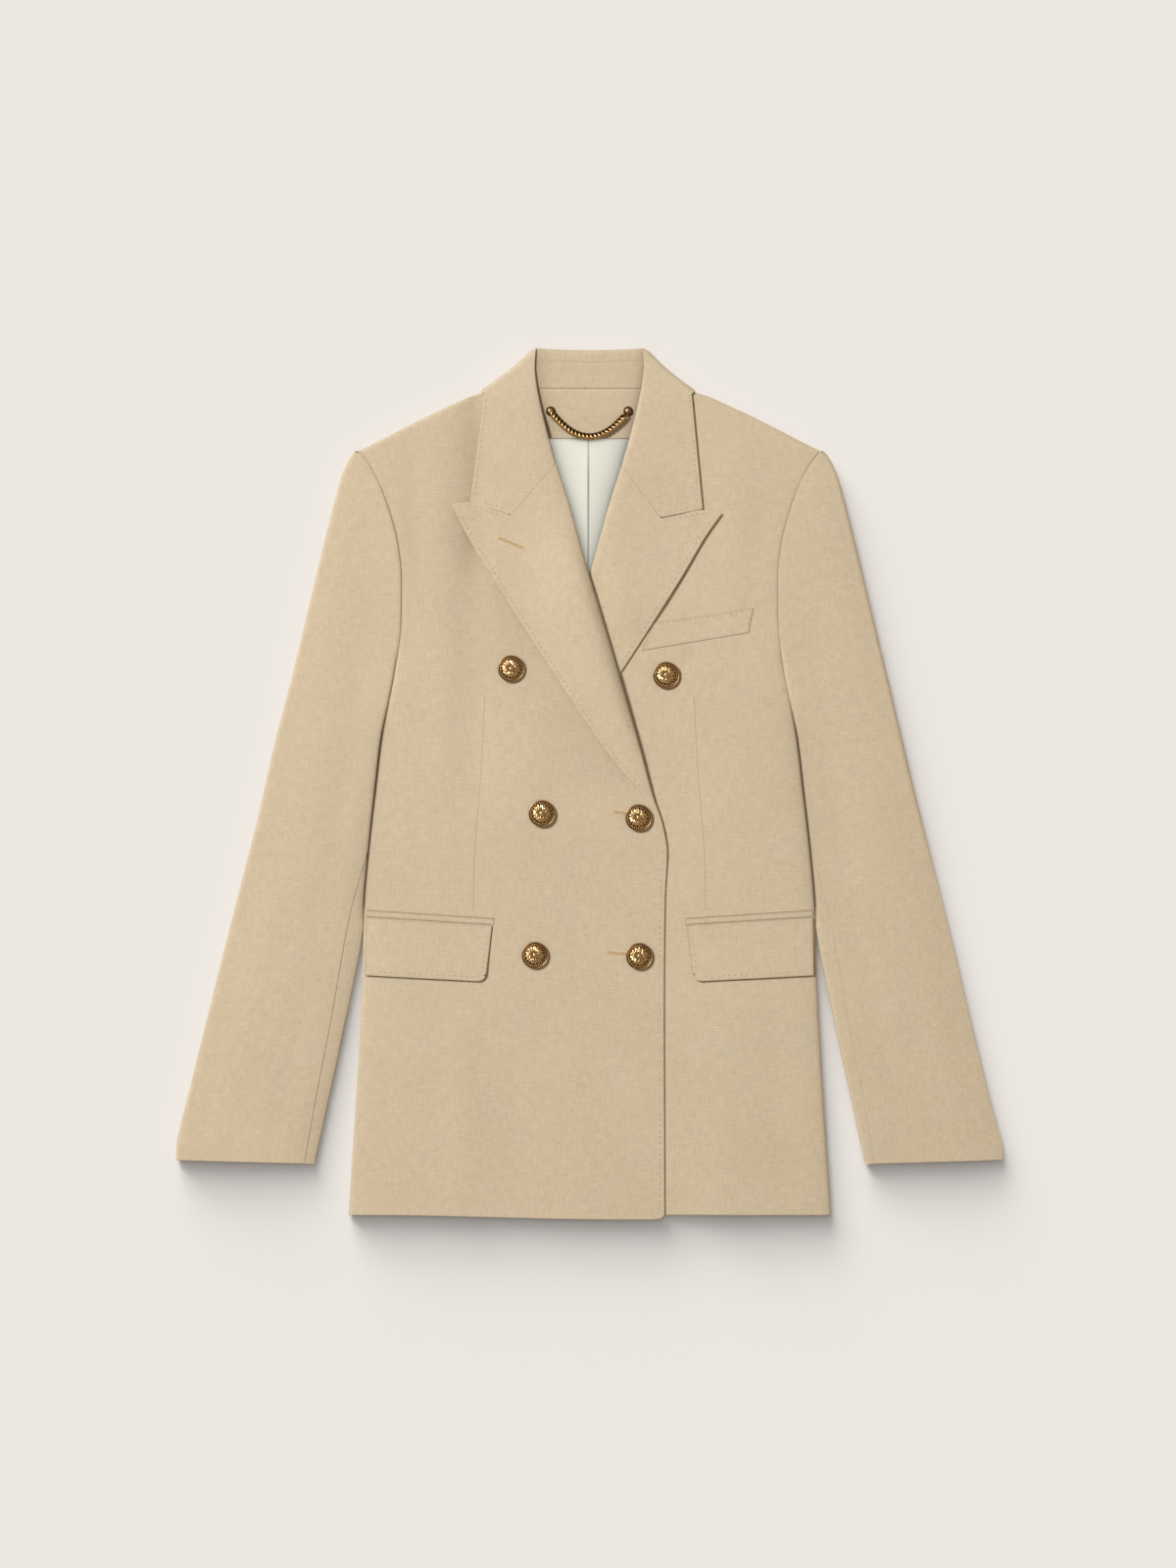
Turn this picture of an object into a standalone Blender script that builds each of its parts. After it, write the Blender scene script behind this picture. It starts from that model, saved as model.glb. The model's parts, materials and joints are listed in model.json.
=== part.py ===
"""Double breasted blazer with peak lapels, laid flat with its fronts up.

Tables are in millimetres and the scene is in metres, +Z up. The cloth rests on z = 0
with the collar towards +Y and the wearer's right at -X. Each panel is a grid of points
on the face of the cloth that shows, and Solidify gives it its wall.

Most tables give one half of the garment: "out" is the distance out from the centre
line, and it is negative where a front passes the centre to lap over the other one.
"""

import math
from collections import namedtuple

import bpy
from mathutils import Vector

MM = 0.001

# Walls and layers
CLOTH_WALL = 1.8  # fronts, backs, side panels and sleeves: cloth, canvas and lining
TURNED_WALL = 1.5  # collar, lapels, flaps and welt
TRIM_WALL = 1.0  # pocket jets, neck facing and body lining
GAP = 0.3  # between pieces at a seam, and between layers
LAPEL_GAP = 0.6  # under a lapel or collar, which don't lie as close as a flap
FRONT_TOP = 7.3  # top face of the fronts and sleeves, over a folded side
OVERLAP_DIP = 2.1  # how far the left front sinks where it lies on the back
LAPEL_RISE = 2.4  # how far the right front lies higher over the hidden lapel
NECK_LIFT = TURNED_WALL + GAP  # the back lies on the collar's fall at the neck
FOLD_MEETS = FRONT_TOP / 2.0  # height at which the two sides of a fold meet
COLLAR_CREASE_TOP = 6.0  # top face of the collar stand at its crease

# Edges
FOLD_REACH = 5.5  # how far a folded edge rounds, across
FOLD_STEEP = 90.0  # degrees that it turns down at its edge
FOLD_STRAIGHT = 0.7  # upright stretch where two folded edges meet
SEAM_DROP = 1.2  # how far the top face sinks into an armhole seam
SEAM_STEEP = 40.0
UNDER_SEAM_RISE = 0.5  # how far the underside rises into an armhole seam
LAPEL_TUCK = 3.0  # the front's own edge stops this far inside the lapel's roll

# Levels up the garment
HEM_Y = -385.4
FRONT_HEM_DIP = 3.6  # the right front's hem is lower at its free edge
CUFF_INNER_Y = -339.8
CUFF_OUTER_Y = -336.4
UNDERARM_Y = 94.0
ARMHOLE_BACK_Y = 134.0  # where the side panel ends in the armhole
SHOULDER_TIP = (205.5, 297.3)
CROWN_Y = 295.2
NECK_POINT = (66.0, 362.0)
NECKLINE_Y = 352.5
FACING_HEM_Y = 308.4
LINING_FOOT_Y = 176.0
COLLAR_TOP_Y = 388.9
SIDE_PANEL_WIDTH = 55.0
SHOULDER_DEPTH = 650.0  # hem to shoulder, which turns a distance into a share of a panel

# Levels of the rows that the body and the sleeve share, so that their seam points agree
HEM_ROWS = (-385.4, -330.0, -270.0, -215.0, -171.0)
WAIST_ROWS = (-140.0, -113.0, -85.0, -60.0, -38.0, -12.0, 30.0, 64.0, 94.0)
ARMHOLE_ROWS = (108.0, 121.0, 134.0, 158.0, 182.0, 206.0, 228.0, 248.0, 266.0, 280.0, 289.5)
SLEEVE_ROWS = (-339.8, -330.0, -305.0, -270.0, -230.0, -185.0)

Level = namedtuple("Level", "y out")

# The body's folded side, then the armhole seam up to the shoulder tip
BODY_SIDE = (
    Level(-385.4, 215.3),
    Level(-240.0, 206.0),
    Level(-171.0, 202.6),
    Level(-113.0, 201.4),
    Level(-62.0, 197.2),
    Level(0.0, 190.2),
    Level(40.0, 185.4),
    Level(72.0, 179.2),
    Level(96.0, 174.4),
    Level(144.0, 168.2),
    Level(184.0, 167.8),
    Level(212.0, 170.6),
    Level(240.0, 177.4),
    Level(267.0, 187.3),
    Level(284.0, 196.0),
    Level(297.3, 205.5),
)

# A front's free edge, then the roll line of its lapel and of the collar
FRONT_EDGE = (
    Level(-385.4, -67.2),
    Level(-193.8, -66.5),
    Level(-103.7, -67.4),
    Level(-61.7, -69.4),
    Level(-39.8, -66.0),
    Level(-12.7, -57.3),
    Level(30.2, -45.9),
    Level(98.8, -26.3),
    Level(159.9, -8.2),
    Level(188.6, 0.5),
    Level(220.0, 9.3),
    Level(252.4, 18.5),
    Level(285.3, 29.2),
    Level(324.2, 39.8),
    Level(353.9, 46.4),
    Level(385.0, 50.6),
)

# Where a front stops under the collar: how far out of the roll line
FRONT_UNDER_COLLAR = (
    Level(285.3, 2.4),
    Level(330.0, 11.0),
    Level(362.0, 18.5),
)

SLEEVE_OUTER = (
    Level(-336.4, 369.2),
    Level(-325.0, 368.2),
    Level(-265.0, 355.2),
    Level(-172.0, 332.2),
    Level(-70.0, 306.3),
    Level(0.0, 288.2),
    Level(68.7, 272.0),
    Level(132.6, 256.7),
    Level(206.9, 239.0),
    Level(258.6, 226.0),
    Level(276.0, 221.0),
    Level(286.6, 216.4),
    Level(295.2, 210.4),
)

# The sleeve's inner edge where it hangs clear of the body
SLEEVE_INNER = (
    Level(-339.8, 245.8),
    Level(-284.0, 233.9),
    Level(-228.0, 221.5),
    Level(-180.0, 211.7),
    Level(-140.0, 203.9),
    Level(-110.0, 200.0),
)

# The forearm seam: how far it lies in from the sleeve's inner edge on the top face
FOREARM_SEAM = (
    Level(-339.8, 8.8),
    Level(-272.0, 11.4),
    Level(-196.0, 13.2),
    Level(-139.0, 14.7),
    Level(-116.0, 11.8),
    Level(-93.0, 7.0),
    Level(-60.0, 0.0),
)

Point = namedtuple("Point", "out y")

# Each side's collar end and lapel: the wearer's right lies over the left
Revers = namedtuple("Revers", "collar_shoulder gorge_top notch collar_corner top_edge outer_edge")
REVERS = {
    "right": Revers(
        collar_shoulder=Point(97.6, 352.4),
        gorge_top=Point(29.8, 285.3),
        notch=Point(70.4, 239.2),
        collar_corner=Point(106.3, 251.6),
        top_edge=(Point(85.3, 244.4), Point(106.3, 250.9), Point(123.3, 250.0)),
        outer_edge=(
            Point(110.7, 224.4),
            Point(88.2, 187.0),
            Point(48.3, 123.6),
            Point(15.8, 73.9),
            Point(-21.8, 19.7),
            Point(-54.6, -16.6),
        ),
    ),
    "left": Revers(
        collar_shoulder=Point(95.4, 352.0),
        gorge_top=Point(28.6, 284.0),
        notch=Point(63.4, 237.0),
        collar_corner=Point(101.1, 244.9),
        top_edge=(Point(82.0, 241.0), Point(101.1, 244.7), Point(118.4, 241.6)),
        outer_edge=(
            Point(103.7, 220.9),
            Point(83.6, 186.8),
            Point(45.0, 125.5),
            Point(14.0, 78.0),
            Point(-21.8, 19.7),
            Point(-54.6, -16.6),
        ),
    ),
}
LAPEL_FOOT = Point(-56.9, -13.6)
NOTCH_SHARE = 0.48  # how much of the lapel's head, or of the collar's end, is gorge seam
LAPEL_ROLL_REACH = 2.7  # how far the lapel rounds at its roll line, across

# The collar's folded shoulder edge runs from this crease corner out to its free edge
COLLAR_CORNER = Point(51.2, 388.9)
COLLAR_BACK_DEPTH = 52.0  # crease to free edge at the centre back, lying underneath
COLLAR_FOLD_REACH = 5.0
COLLAR_ROLL_REACH = 3.5
COLLAR_ROLL_DROP = 1.6
CREASE_MEETS = COLLAR_CREASE_TOP / 2.0
CREASE_REACH = 4.9

# The fall's section at its crease: how far in from the crease line, and how high
Crease = namedtuple("Crease", "inset rise")
CREASE_SECTION = (
    Crease(0.0, CREASE_MEETS - GAP / 2.0),
    Crease(0.0, CREASE_MEETS - GAP / 2.0 - FOLD_STRAIGHT),
    Crease(1.2, 0.9),
    Crease(5.0, 0.0),
)

# Pockets, as corners on one half; the flaps and jets are the same on the other
Pocket = namedtuple("Pocket", "inner_top outer_top outer_foot inner_foot")
FLAP = Pocket(
    inner_top=Point(86.8, -126.6),
    outer_top=Point(199.4, -119.3),
    outer_foot=Point(199.8, -171.4),
    inner_foot=Point(92.8, -177.0),
)
JET = Pocket(
    inner_top=Point(85.2, -120.6),
    outer_top=Point(199.4, -113.2),
    outer_foot=Point(199.4, -118.8),
    inner_foot=Point(85.4, -126.0),
)
WELT = Pocket(
    inner_top=Point(57.8, 143.7),
    outer_top=Point(146.2, 156.7),
    outer_foot=Point(142.2, 134.6),
    inner_foot=Point(46.8, 118.6),
)
FLAP_CORNER_REACH = 7.0
STRIP_COLUMNS = (0.0, 0.02, 0.05, 0.09, 0.25, 0.42, 0.6, 0.78, 0.94, 0.967, 1.0)

# Buttons: turned in metal, on a shank
ButtonSeat = namedtuple("ButtonSeat", "name side out y")
BUTTONS = (
    ButtonSeat("button_chest_right", "right", 69.8, 102.4),
    ButtonSeat("button_chest_left", "left", 68.5, 96.7),
    ButtonSeat("button_waist_right", "right", 42.4, -26.7),
    ButtonSeat("button_waist_left", "right", -43.8, -30.5),
    ButtonSeat("button_low_right", "right", 48.6, -153.2),
    ButtonSeat("button_low_left", "right", -44.5, -154.1),
)
ProfilePoint = namedtuple("ProfilePoint", "radius height")
BUTTON_PROFILE = (
    ProfilePoint(0.0, 6.3),
    ProfilePoint(3.6, 6.05),
    ProfilePoint(6.6, 5.3),
    ProfilePoint(9.0, 4.2),
    ProfilePoint(9.8, 3.9),
    ProfilePoint(10.7, 4.5),
    ProfilePoint(12.0, 3.6),
    ProfilePoint(11.5, 2.0),
    ProfilePoint(3.4, 1.3),
    ProfilePoint(2.6, 0.3),
    ProfilePoint(0.0, 0.3),
)
BUTTON_STEPS = 18
SHANK_RADIUS = 2.6

# Hanger chain across the neck facing
STUD_OUT = 34.6
STUD_Y = 332.5
STUD_RADIUS = 3.9
STUD_HEIGHT = 3.2
CHAIN_SAG = 22.3
CHAIN_WIDTH = 5.2
CHAIN_WALL = 2.0
CHAIN_STEPS = 24
# The chain's rounded section: shares of its width across, and how far below its top
CHAIN_SECTION = ((-0.5, 0.5), (-0.25, 0.0), (0.25, 0.0), (0.5, 0.5))

WOOL = ((0.63, 0.48, 0.31), 0.85, 0.0)
LINING_SATIN = ((0.84, 0.80, 0.68), 0.45, 0.0)
AGED_BRASS = ((0.42, 0.26, 0.09), 0.35, 1.0)

SIGN = {"right": -1.0, "left": 1.0}


# ---------------------------------------------------------------- numbers and outlines
def ease(low, high, value):
    """0 below low, 1 above high, and a smooth step between."""
    share = min(1.0, max(0.0, (value - low) / (high - low)))
    return share * share * (3.0 - 2.0 * share)


def mix(start, end, share):
    return start + (end - start) * share


def smooth_through(keys, values):
    """A function that passes smoothly through the values and never overshoots them."""
    steps = [b - a for a, b in zip(keys, keys[1:])]
    rises = [(b - a) / step for a, b, step in zip(values, values[1:], steps)]
    slopes = [rises[0]]
    for before, after in zip(rises, rises[1:]):
        same_way = before * after > 0.0
        slopes.append(2.0 * before * after / (before + after) if same_way else 0.0)
    slopes.append(rises[-1])

    def at(key):
        key = min(keys[-1], max(keys[0], key))
        i = max(k for k in range(len(steps)) if keys[k] <= key)
        u = (key - keys[i]) / steps[i]
        first = (1.0 + 2.0 * u) * (1.0 - u) ** 2 * values[i]
        last = u * u * (3.0 - 2.0 * u) * values[i + 1]
        leave = u * (1.0 - u) ** 2 * steps[i] * slopes[i]
        arrive = u * u * (u - 1.0) * steps[i] * slopes[i + 1]
        return first + last + leave + arrive

    return at


def by_level(levels):
    return smooth_through([row.y for row in levels], [row.out for row in levels])


def along(points):
    """A function from 0..1 to a point on the smooth line through the points."""
    reach = [0.0]
    for a, b in zip(points, points[1:]):
        reach.append(reach[-1] + math.hypot(b[0] - a[0], b[1] - a[1]))
    shares = [length / reach[-1] for length in reach]
    out_at = smooth_through(shares, [p[0] for p in points])
    y_at = smooth_through(shares, [p[1] for p in points])
    return lambda share: (out_at(share), y_at(share))


def joined(first, second, corner_share):
    """Two lines end to end, with their corner kept sharp at corner_share."""

    def at(share):
        if share <= corner_share:
            return first(share / corner_share)
        return second((share - corner_share) / (1.0 - corner_share))

    return at


def between(start, end, share):
    """The point that far along the straight line from start to end."""
    return tuple(mix(a, b, share) for a, b in zip(start, end))


def coons(inner, outer, foot, head, across, up):
    """The point of a four-sided patch, from the lines that bound it."""
    sides = between(inner(up), outer(up), across)
    ends = between(foot(across), head(across), up)
    low = between(inner(0.0), outer(0.0), across)
    high = between(inner(1.0), outer(1.0), across)
    return tuple(side + end - flat for side, end, flat in zip(sides, ends, between(low, high, up)))


body_side = by_level(BODY_SIDE)
front_edge = by_level(FRONT_EDGE)
front_under_collar = by_level(FRONT_UNDER_COLLAR)
sleeve_outer = by_level(SLEEVE_OUTER)
sleeve_clear = by_level(SLEEVE_INNER)
forearm_seam = by_level(FOREARM_SEAM)


def sleeve_inner(y):
    return max(body_side(y) + GAP, sleeve_clear(y) if y < SLEEVE_INNER[-1].y else 0.0)


def back_seam(y):
    """How far out the back meets the side panel, and above it the armhole."""
    return body_side(y) - SIDE_PANEL_WIDTH * (1.0 - ease(60.0, ARMHOLE_BACK_Y, y))


def front_inner(y):
    """A front's own inner edge: it stops short where the lapel rolls over it."""
    if y > FRONT_UNDER_COLLAR[0].y:
        return front_edge(y) + front_under_collar(y)
    return front_edge(y) + LAPEL_TUCK * ease(-36.0, -24.0, y)


# ---------------------------------------------------------------- heights of the layers
def edge_share(distance, reach, steep):
    """0 clear of an edge and 1 at it, on an arc that turns down by steep degrees."""
    if distance >= reach:
        return 0.0
    limit = math.radians(steep)
    turned = math.asin(min(1.0, (1.0 - max(0.0, distance) / reach) * math.sin(limit)))
    return (1.0 - math.cos(turned)) / (1.0 - math.cos(limit))


def shoulder_distance(out, y):
    """How far a point lies inside the straight shoulder line."""
    run = NECK_POINT[0] - SHOULDER_TIP[0]
    rise = NECK_POINT[1] - SHOULDER_TIP[1]
    return (run * (y - SHOULDER_TIP[1]) - rise * (out - SHOULDER_TIP[0])) / math.hypot(run, rise)


def collar_back_edge(out):
    """Level of the collar's free edge under the back."""
    return COLLAR_TOP_Y - COLLAR_BACK_DEPTH + 11.0 * (out / 95.0) ** 2


def neck_lift(x, y):
    """How far the back is raised by the collar that lies under it."""
    out = abs(x)
    reach = ease(collar_back_edge(out) - 24.0, collar_back_edge(out) - 3.0, y)
    return NECK_LIFT * reach * (1.0 - ease(112.0, 150.0, out))


def hidden_lapel(x, y):
    """1 over the part of the left lapel that the right front covers, fading round it."""
    across = ease(-74.0, -4.0, x - front_edge(y))
    return across * ease(-90.0, -20.0, y) * (1.0 - ease(194.0, 265.0, y))


def right_top(x, y):
    return FRONT_TOP + LAPEL_RISE * hidden_lapel(x, y)


def left_top(x, y):
    level = (1.0 - ease(60.0, 150.0, x)) * (1.0 - ease(215.0, 285.0, y))
    return FRONT_TOP - OVERLAP_DIP * level


def seam_share(y):
    """0 where a side is folded, and 1 where it is sewn to the sleeve."""
    return ease(UNDERARM_Y, 130.0, y)


def side_steep(y):
    return mix(FOLD_STEEP, SEAM_STEEP, seam_share(y))


def front_height(side, out, y):
    """Height of a front's top face, rounded down at its side and shoulder."""
    x = SIGN[side] * out
    top = right_top(x, y) if side == "right" else left_top(x, y)
    fold_drop = top - FOLD_MEETS - GAP / 2.0 - FOLD_STRAIGHT
    side_drop = mix(fold_drop, SEAM_DROP, seam_share(y))
    side_share = edge_share(body_side(y) - out, FOLD_REACH, side_steep(y))
    shoulder_share = edge_share(shoulder_distance(out, y), FOLD_REACH, FOLD_STEEP)
    shoulder_drop = fold_drop - 0.2 * neck_lift(out, y)
    return top - max(side_drop * side_share, shoulder_drop * shoulder_share)


def back_height(out, y):
    """Height of the outer face of the back and side panels, which faces down."""
    base = neck_lift(out, y)
    fold_rise = FOLD_MEETS - GAP / 2.0 - FOLD_STRAIGHT - base
    side_rise = mix(fold_rise, UNDER_SEAM_RISE, seam_share(y))
    side_share = edge_share(body_side(y) - out, FOLD_REACH, side_steep(y))
    shoulder_share = edge_share(shoulder_distance(out, y), FOLD_REACH, FOLD_STEEP)
    return base + max(side_rise * side_share, fold_rise * shoulder_share)


def sleeve_height(out, y, outer):
    """Height of the sleeve's top face, rounded at its outer fold and inner edge."""
    fold_drop = FRONT_TOP - FOLD_MEETS - GAP / 2.0 - FOLD_STRAIGHT
    inner_drop = mix(fold_drop, SEAM_DROP, seam_share(y))
    inner_share = edge_share(out - sleeve_inner(y), FOLD_REACH, side_steep(y))
    outer_share = edge_share(outer - out, min(FOLD_REACH, 0.45 * (outer - sleeve_inner(y))), FOLD_STEEP)
    return FRONT_TOP - max(inner_drop * inner_share, fold_drop * outer_share)


def on_front(side, out, y, lift):
    """The point at this place on a front, moved out from its top face by lift."""
    step = 0.2
    slope_out = (front_height(side, out, y) - front_height(side, out - step, y)) / step
    slope_y = (front_height(side, out, y) - front_height(side, out, y - step)) / step
    normal = Vector((-slope_out, -slope_y, 1.0)).normalized()
    place = Vector((out, y, front_height(side, out, y))) + normal * lift
    return (SIGN[side] * place.x, place.y, place.z)


# ---------------------------------------------------------------- making objects
def new_collection(name):
    collection = bpy.data.collections.new(name)
    bpy.context.scene.collection.children.link(collection)
    return collection


def finish_of(name, finish):
    colour, roughness, metallic = finish
    material = bpy.data.materials.new(name)
    material.use_nodes = True
    shader = material.node_tree.nodes["Principled BSDF"]
    shader.inputs["Base Color"].default_value = (*colour, 1.0)
    shader.inputs["Roughness"].default_value = roughness
    shader.inputs["Metallic"].default_value = metallic
    return material


def add_object(name, mesh, finish):
    piece = bpy.data.objects.new(name, mesh)
    mesh.materials.append(finish_of(name, finish))
    BLAZER.objects.link(piece)
    return piece


def cloth(name, rows, wall, flip=False, keep=None, finish=WOOL):
    """A panel: an open grid of points in millimetres on its outer face, given a wall."""
    width = len(rows[0])
    vertices = [(x * MM, y * MM, z * MM) for row in rows for x, y, z in row]
    faces = []
    for i in range(len(rows) - 1):
        for j in range(width - 1):
            if keep is None or keep(i, j):
                corner = i * width + j
                face = (corner, corner + 1, corner + width + 1, corner + width)
                faces.append(face[::-1] if flip else face)
    used = sorted({vertex for face in faces for vertex in face})
    place = {vertex: index for index, vertex in enumerate(used)}
    mesh = bpy.data.meshes.new(name)
    mesh.from_pydata([vertices[v] for v in used], [], [[place[v] for v in face] for face in faces])
    mesh.shade_smooth()
    mesh.set_sharp_from_angle(angle=math.radians(40.0))
    piece = add_object(name, mesh, finish)
    solidify = piece.modifiers.new("wall", "SOLIDIFY")
    solidify.thickness = wall * MM
    solidify.offset = -1.0
    return piece


def spread(count):
    return [k / (count - 1) for k in range(count)]


def edge_distances(reach, steep, count):
    """Distances from an edge, from reach down to 0, at even turns of its arc."""
    limit = math.radians(steep)
    turns = [limit * k / count for k in range(1, count + 1)]
    return [reach * (1.0 - math.sin(turn) / math.sin(limit)) for turn in turns]


FOLD_COLUMNS = edge_distances(FOLD_REACH, FOLD_STEEP, 3)


def meeting_edge(points, drop, y):
    """Ends a row upright where it meets a fold, or sloping on into an armhole seam.

    The row's last point is moved by drop, and one is added before it.
    """
    x, level, z = points[-1]
    before = points[-2]
    seam = seam_share(y)
    held = (mix(x, before[0], 0.4 * seam), level, mix(z, before[2], 0.4 * seam))
    return points[:-1] + [held, (x, level, z - drop * (1.0 - seam))]


# ---------------------------------------------------------------- fronts, sides and back
def body_shares():
    """How far up the body each row lies, from the hem to the shoulder line."""
    levels = HEM_ROWS + WAIST_ROWS + ARMHOLE_ROWS
    shares = [(y - HEM_Y) / (SHOULDER_TIP[1] - HEM_Y) for y in levels]
    return shares + [1.0 - distance / SHOULDER_DEPTH for distance in [FOLD_REACH] + FOLD_COLUMNS]


def front_panel(side):
    def inner(up):
        y = mix(HEM_Y, NECK_POINT[1], up)
        return (front_inner(y), y)

    def outer(up):
        y = mix(HEM_Y, SHOULDER_TIP[1], up)
        return (body_side(y), y)

    def foot(across):
        return between(inner(0.0), outer(0.0), across)

    def head(across):
        return between(NECK_POINT, SHOULDER_TIP, across)

    rows = []
    for up in body_shares():
        width = outer(up)[0] - inner(up)[0]
        inset = FOLD_REACH / width
        shares = [share * (1.0 - inset) for share in (0.0, 0.1, 0.2, 0.32, 0.52, 0.76, 1.0)]
        shares += [1.0 - distance / width for distance in FOLD_COLUMNS]
        row = []
        for across in shares:
            out, y = coons(inner, outer, foot, head, across, up)
            z = front_height(side, out, y)
            if side == "right":
                dip = ease(-120.0, 70.0, -out) * (1.0 - ease(HEM_Y, HEM_Y + 60.0, y))
                y -= FRONT_HEM_DIP * dip
            row.append((SIGN[side] * out, y, z))
        rows.append(meeting_edge(row, FOLD_STRAIGHT, outer(up)[1]))
    rows.append([(x, y, z - FOLD_STRAIGHT) for x, y, z in rows[-1]])
    return cloth("front_" + side, rows, CLOTH_WALL, flip=side == "right")


def side_panel(side):
    rows = []
    for y in HEM_ROWS + WAIST_ROWS + ARMHOLE_ROWS[:2] + (ARMHOLE_BACK_Y - 4.0,):
        start = back_seam(y) + GAP / 2.0
        end = body_side(y)
        reach = min(FOLD_REACH, (end - start) * 0.6)
        outs = [start, end - reach]
        outs += [end - distance * reach / FOLD_REACH for distance in FOLD_COLUMNS]
        row = [(SIGN[side] * out, y, back_height(out, y)) for out in outs]
        rows.append(meeting_edge(row, -FOLD_STRAIGHT, y))
    return cloth("side_panel_" + side, rows, CLOTH_WALL, flip=side == "left")


def back_panel(side):
    def inner(up):
        return (GAP / 2.0, mix(HEM_Y, NECKLINE_Y, up))

    def outer(up):
        y = mix(HEM_Y, SHOULDER_TIP[1], up)
        return (back_seam(y) - GAP / 2.0 * (1.0 - ease(120.0, ARMHOLE_BACK_Y, y)), y)

    def foot(across):
        return between(inner(0.0), outer(0.0), across)

    neckline = along(((GAP / 2.0, NECKLINE_Y), (46.0, NECKLINE_Y + 2.0), NECK_POINT))
    shoulder = along((NECK_POINT, SHOULDER_TIP))
    head = joined(neckline, shoulder, 0.4)
    rows = []
    for up in body_shares():
        row = []
        for across in (0.0, 0.16, 0.32, 0.4, 0.6, 0.8, 1.0):
            out, y = coons(inner, outer, foot, head, across, up)
            row.append((SIGN[side] * out, y, back_height(out, y)))
        rows.append(row)
    lip = []
    for x, y, z in rows[-1]:
        lip.append((x, y, z + FOLD_STRAIGHT * ease(0.0, 1.0, z - neck_lift(x, y))))
    return cloth("back_" + side, rows + [lip], CLOTH_WALL, flip=side == "left")


# ---------------------------------------------------------------- sleeves
def cuff_row_y(out, y):
    """Rows near the cuff follow its slight slope."""
    slope = mix(CUFF_INNER_Y, CUFF_OUTER_Y, (out - 246.0) / 123.0) - CUFF_INNER_Y
    return y + slope * (1.0 - ease(CUFF_INNER_Y, CUFF_INNER_Y + 90.0, y))


def sleeve_levels():
    return SLEEVE_ROWS + WAIST_ROWS + ARMHOLE_ROWS + (CROWN_Y,)


def outer_edge(y):
    """The sleeve's outer edge on this row, whose cuff end is higher than its inner end."""
    return sleeve_outer(mix(CUFF_OUTER_Y, y, ease(CUFF_INNER_Y, CUFF_INNER_Y + 30.0, y)))


def sleeve_top(side):
    rows = []
    for y in sleeve_levels():
        inner = sleeve_inner(y)
        outer = outer_edge(y)
        reach = min(FOLD_REACH, (outer - inner) * 0.45)
        arc = [distance * reach / FOLD_REACH for distance in FOLD_COLUMNS]
        seam = forearm_seam(y) + GAP / 2.0 if forearm_seam(y) > 0.0 else 0.0
        starts = [max(distance, seam + 0.9 * k) for k, distance in enumerate([0.0, arc[1], arc[0], reach])]
        outs = [inner + start for start in starts]
        outs += [mix(outs[-1], outer - reach, share) for share in spread(4)[1:]]
        outs += [outer - distance for distance in arc]
        row = [(SIGN[side] * out, cuff_row_y(out, y), sleeve_height(out, y, outer)) for out in outs]
        row = meeting_edge(row, FOLD_STRAIGHT, UNDERARM_Y)
        rows.append(inner_edge(row, y, 1.0 - ease(0.0, 1.0, seam)))
    return cloth("sleeve_top_" + side, rows, CLOTH_WALL, flip=side == "right")


def inner_edge(row, y, at_fold):
    """The same upright end for a row's first point, only where it lies on the fold."""
    upright = meeting_edge(row[::-1], FOLD_STRAIGHT, y)[::-1]
    first = between(row[0], upright[0], at_fold)
    second = between(between(row[0], row[1], 0.3), upright[1], at_fold)
    return [first, second] + row[1:]


def fold_section(turn):
    """Distance in from a fold and height, from the underside (-1) round to the top (1)."""
    if turn > 1.0:
        return (FOLD_REACH * turn, FRONT_TOP)
    angle = math.radians(90.0 * turn)
    distance = FOLD_REACH * (1.0 - math.cos(angle))
    return (distance, FOLD_MEETS * (1.0 + math.sin(angle)))


def forearm_turn(y):
    """How far round the inner fold the undersleeve reaches, as a turn of the section."""
    seam = forearm_seam(y)
    if seam < FOLD_REACH:
        turn = math.degrees(math.acos(1.0 - seam / FOLD_REACH)) / 90.0
    else:
        turn = seam / FOLD_REACH
    return turn - GAP / FOLD_REACH


def sleeve_wrap(y, columns):
    """Distances in and heights round the inner fold, from the underside to the seam."""
    end = forearm_turn(y)
    section = [fold_section(mix(-1.0, end, k / (columns - 1.0))) for k in range(columns - 2)]
    last = fold_section(end) if end > 0.0 else (0.0, FOLD_MEETS - GAP / 2.0)
    below = (last[0], last[1] - FOLD_STRAIGHT)
    before = between(fold_section(end - 0.12), below, 1.0 - ease(0.0, 0.3, end))
    return section + [before, last]


def sleeve_under(side):
    wrap_columns = 7
    levels = sleeve_levels()
    rise = FOLD_MEETS - GAP / 2.0 - FOLD_STRAIGHT
    rows = []
    for y in levels:
        inner = sleeve_inner(y)
        outer = outer_edge(y)
        reach = min(FOLD_REACH, (outer - inner) * 0.4)
        folded = y <= UNDERARM_Y
        row = [(outer, rise + FOLD_STRAIGHT)]
        for distance in FOLD_COLUMNS[::-1]:
            height = rise * edge_share(distance, FOLD_REACH, FOLD_STEEP)
            row.append((outer - distance * reach / FOLD_REACH, height))
        first = outer - reach
        last = inner + (FOLD_REACH if folded else 0.0)
        row += [(mix(first, last, share), 0.0) for share in spread(4)[:-1]]
        for distance, height in sleeve_wrap(y, wrap_columns):
            row.append((inner + distance, height) if folded else (inner, 0.0))
        rows.append([(SIGN[side] * out, cuff_row_y(out, y), z) for out, z in row])
    underarm_row = max(i for i, y in enumerate(levels) if y <= UNDERARM_Y)
    wrap_start = len(rows[0]) - wrap_columns

    def keep(i, j):
        return i < underarm_row or j < wrap_start

    return cloth("sleeve_under_" + side, rows, CLOTH_WALL, flip=side == "right", keep=keep)


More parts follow.
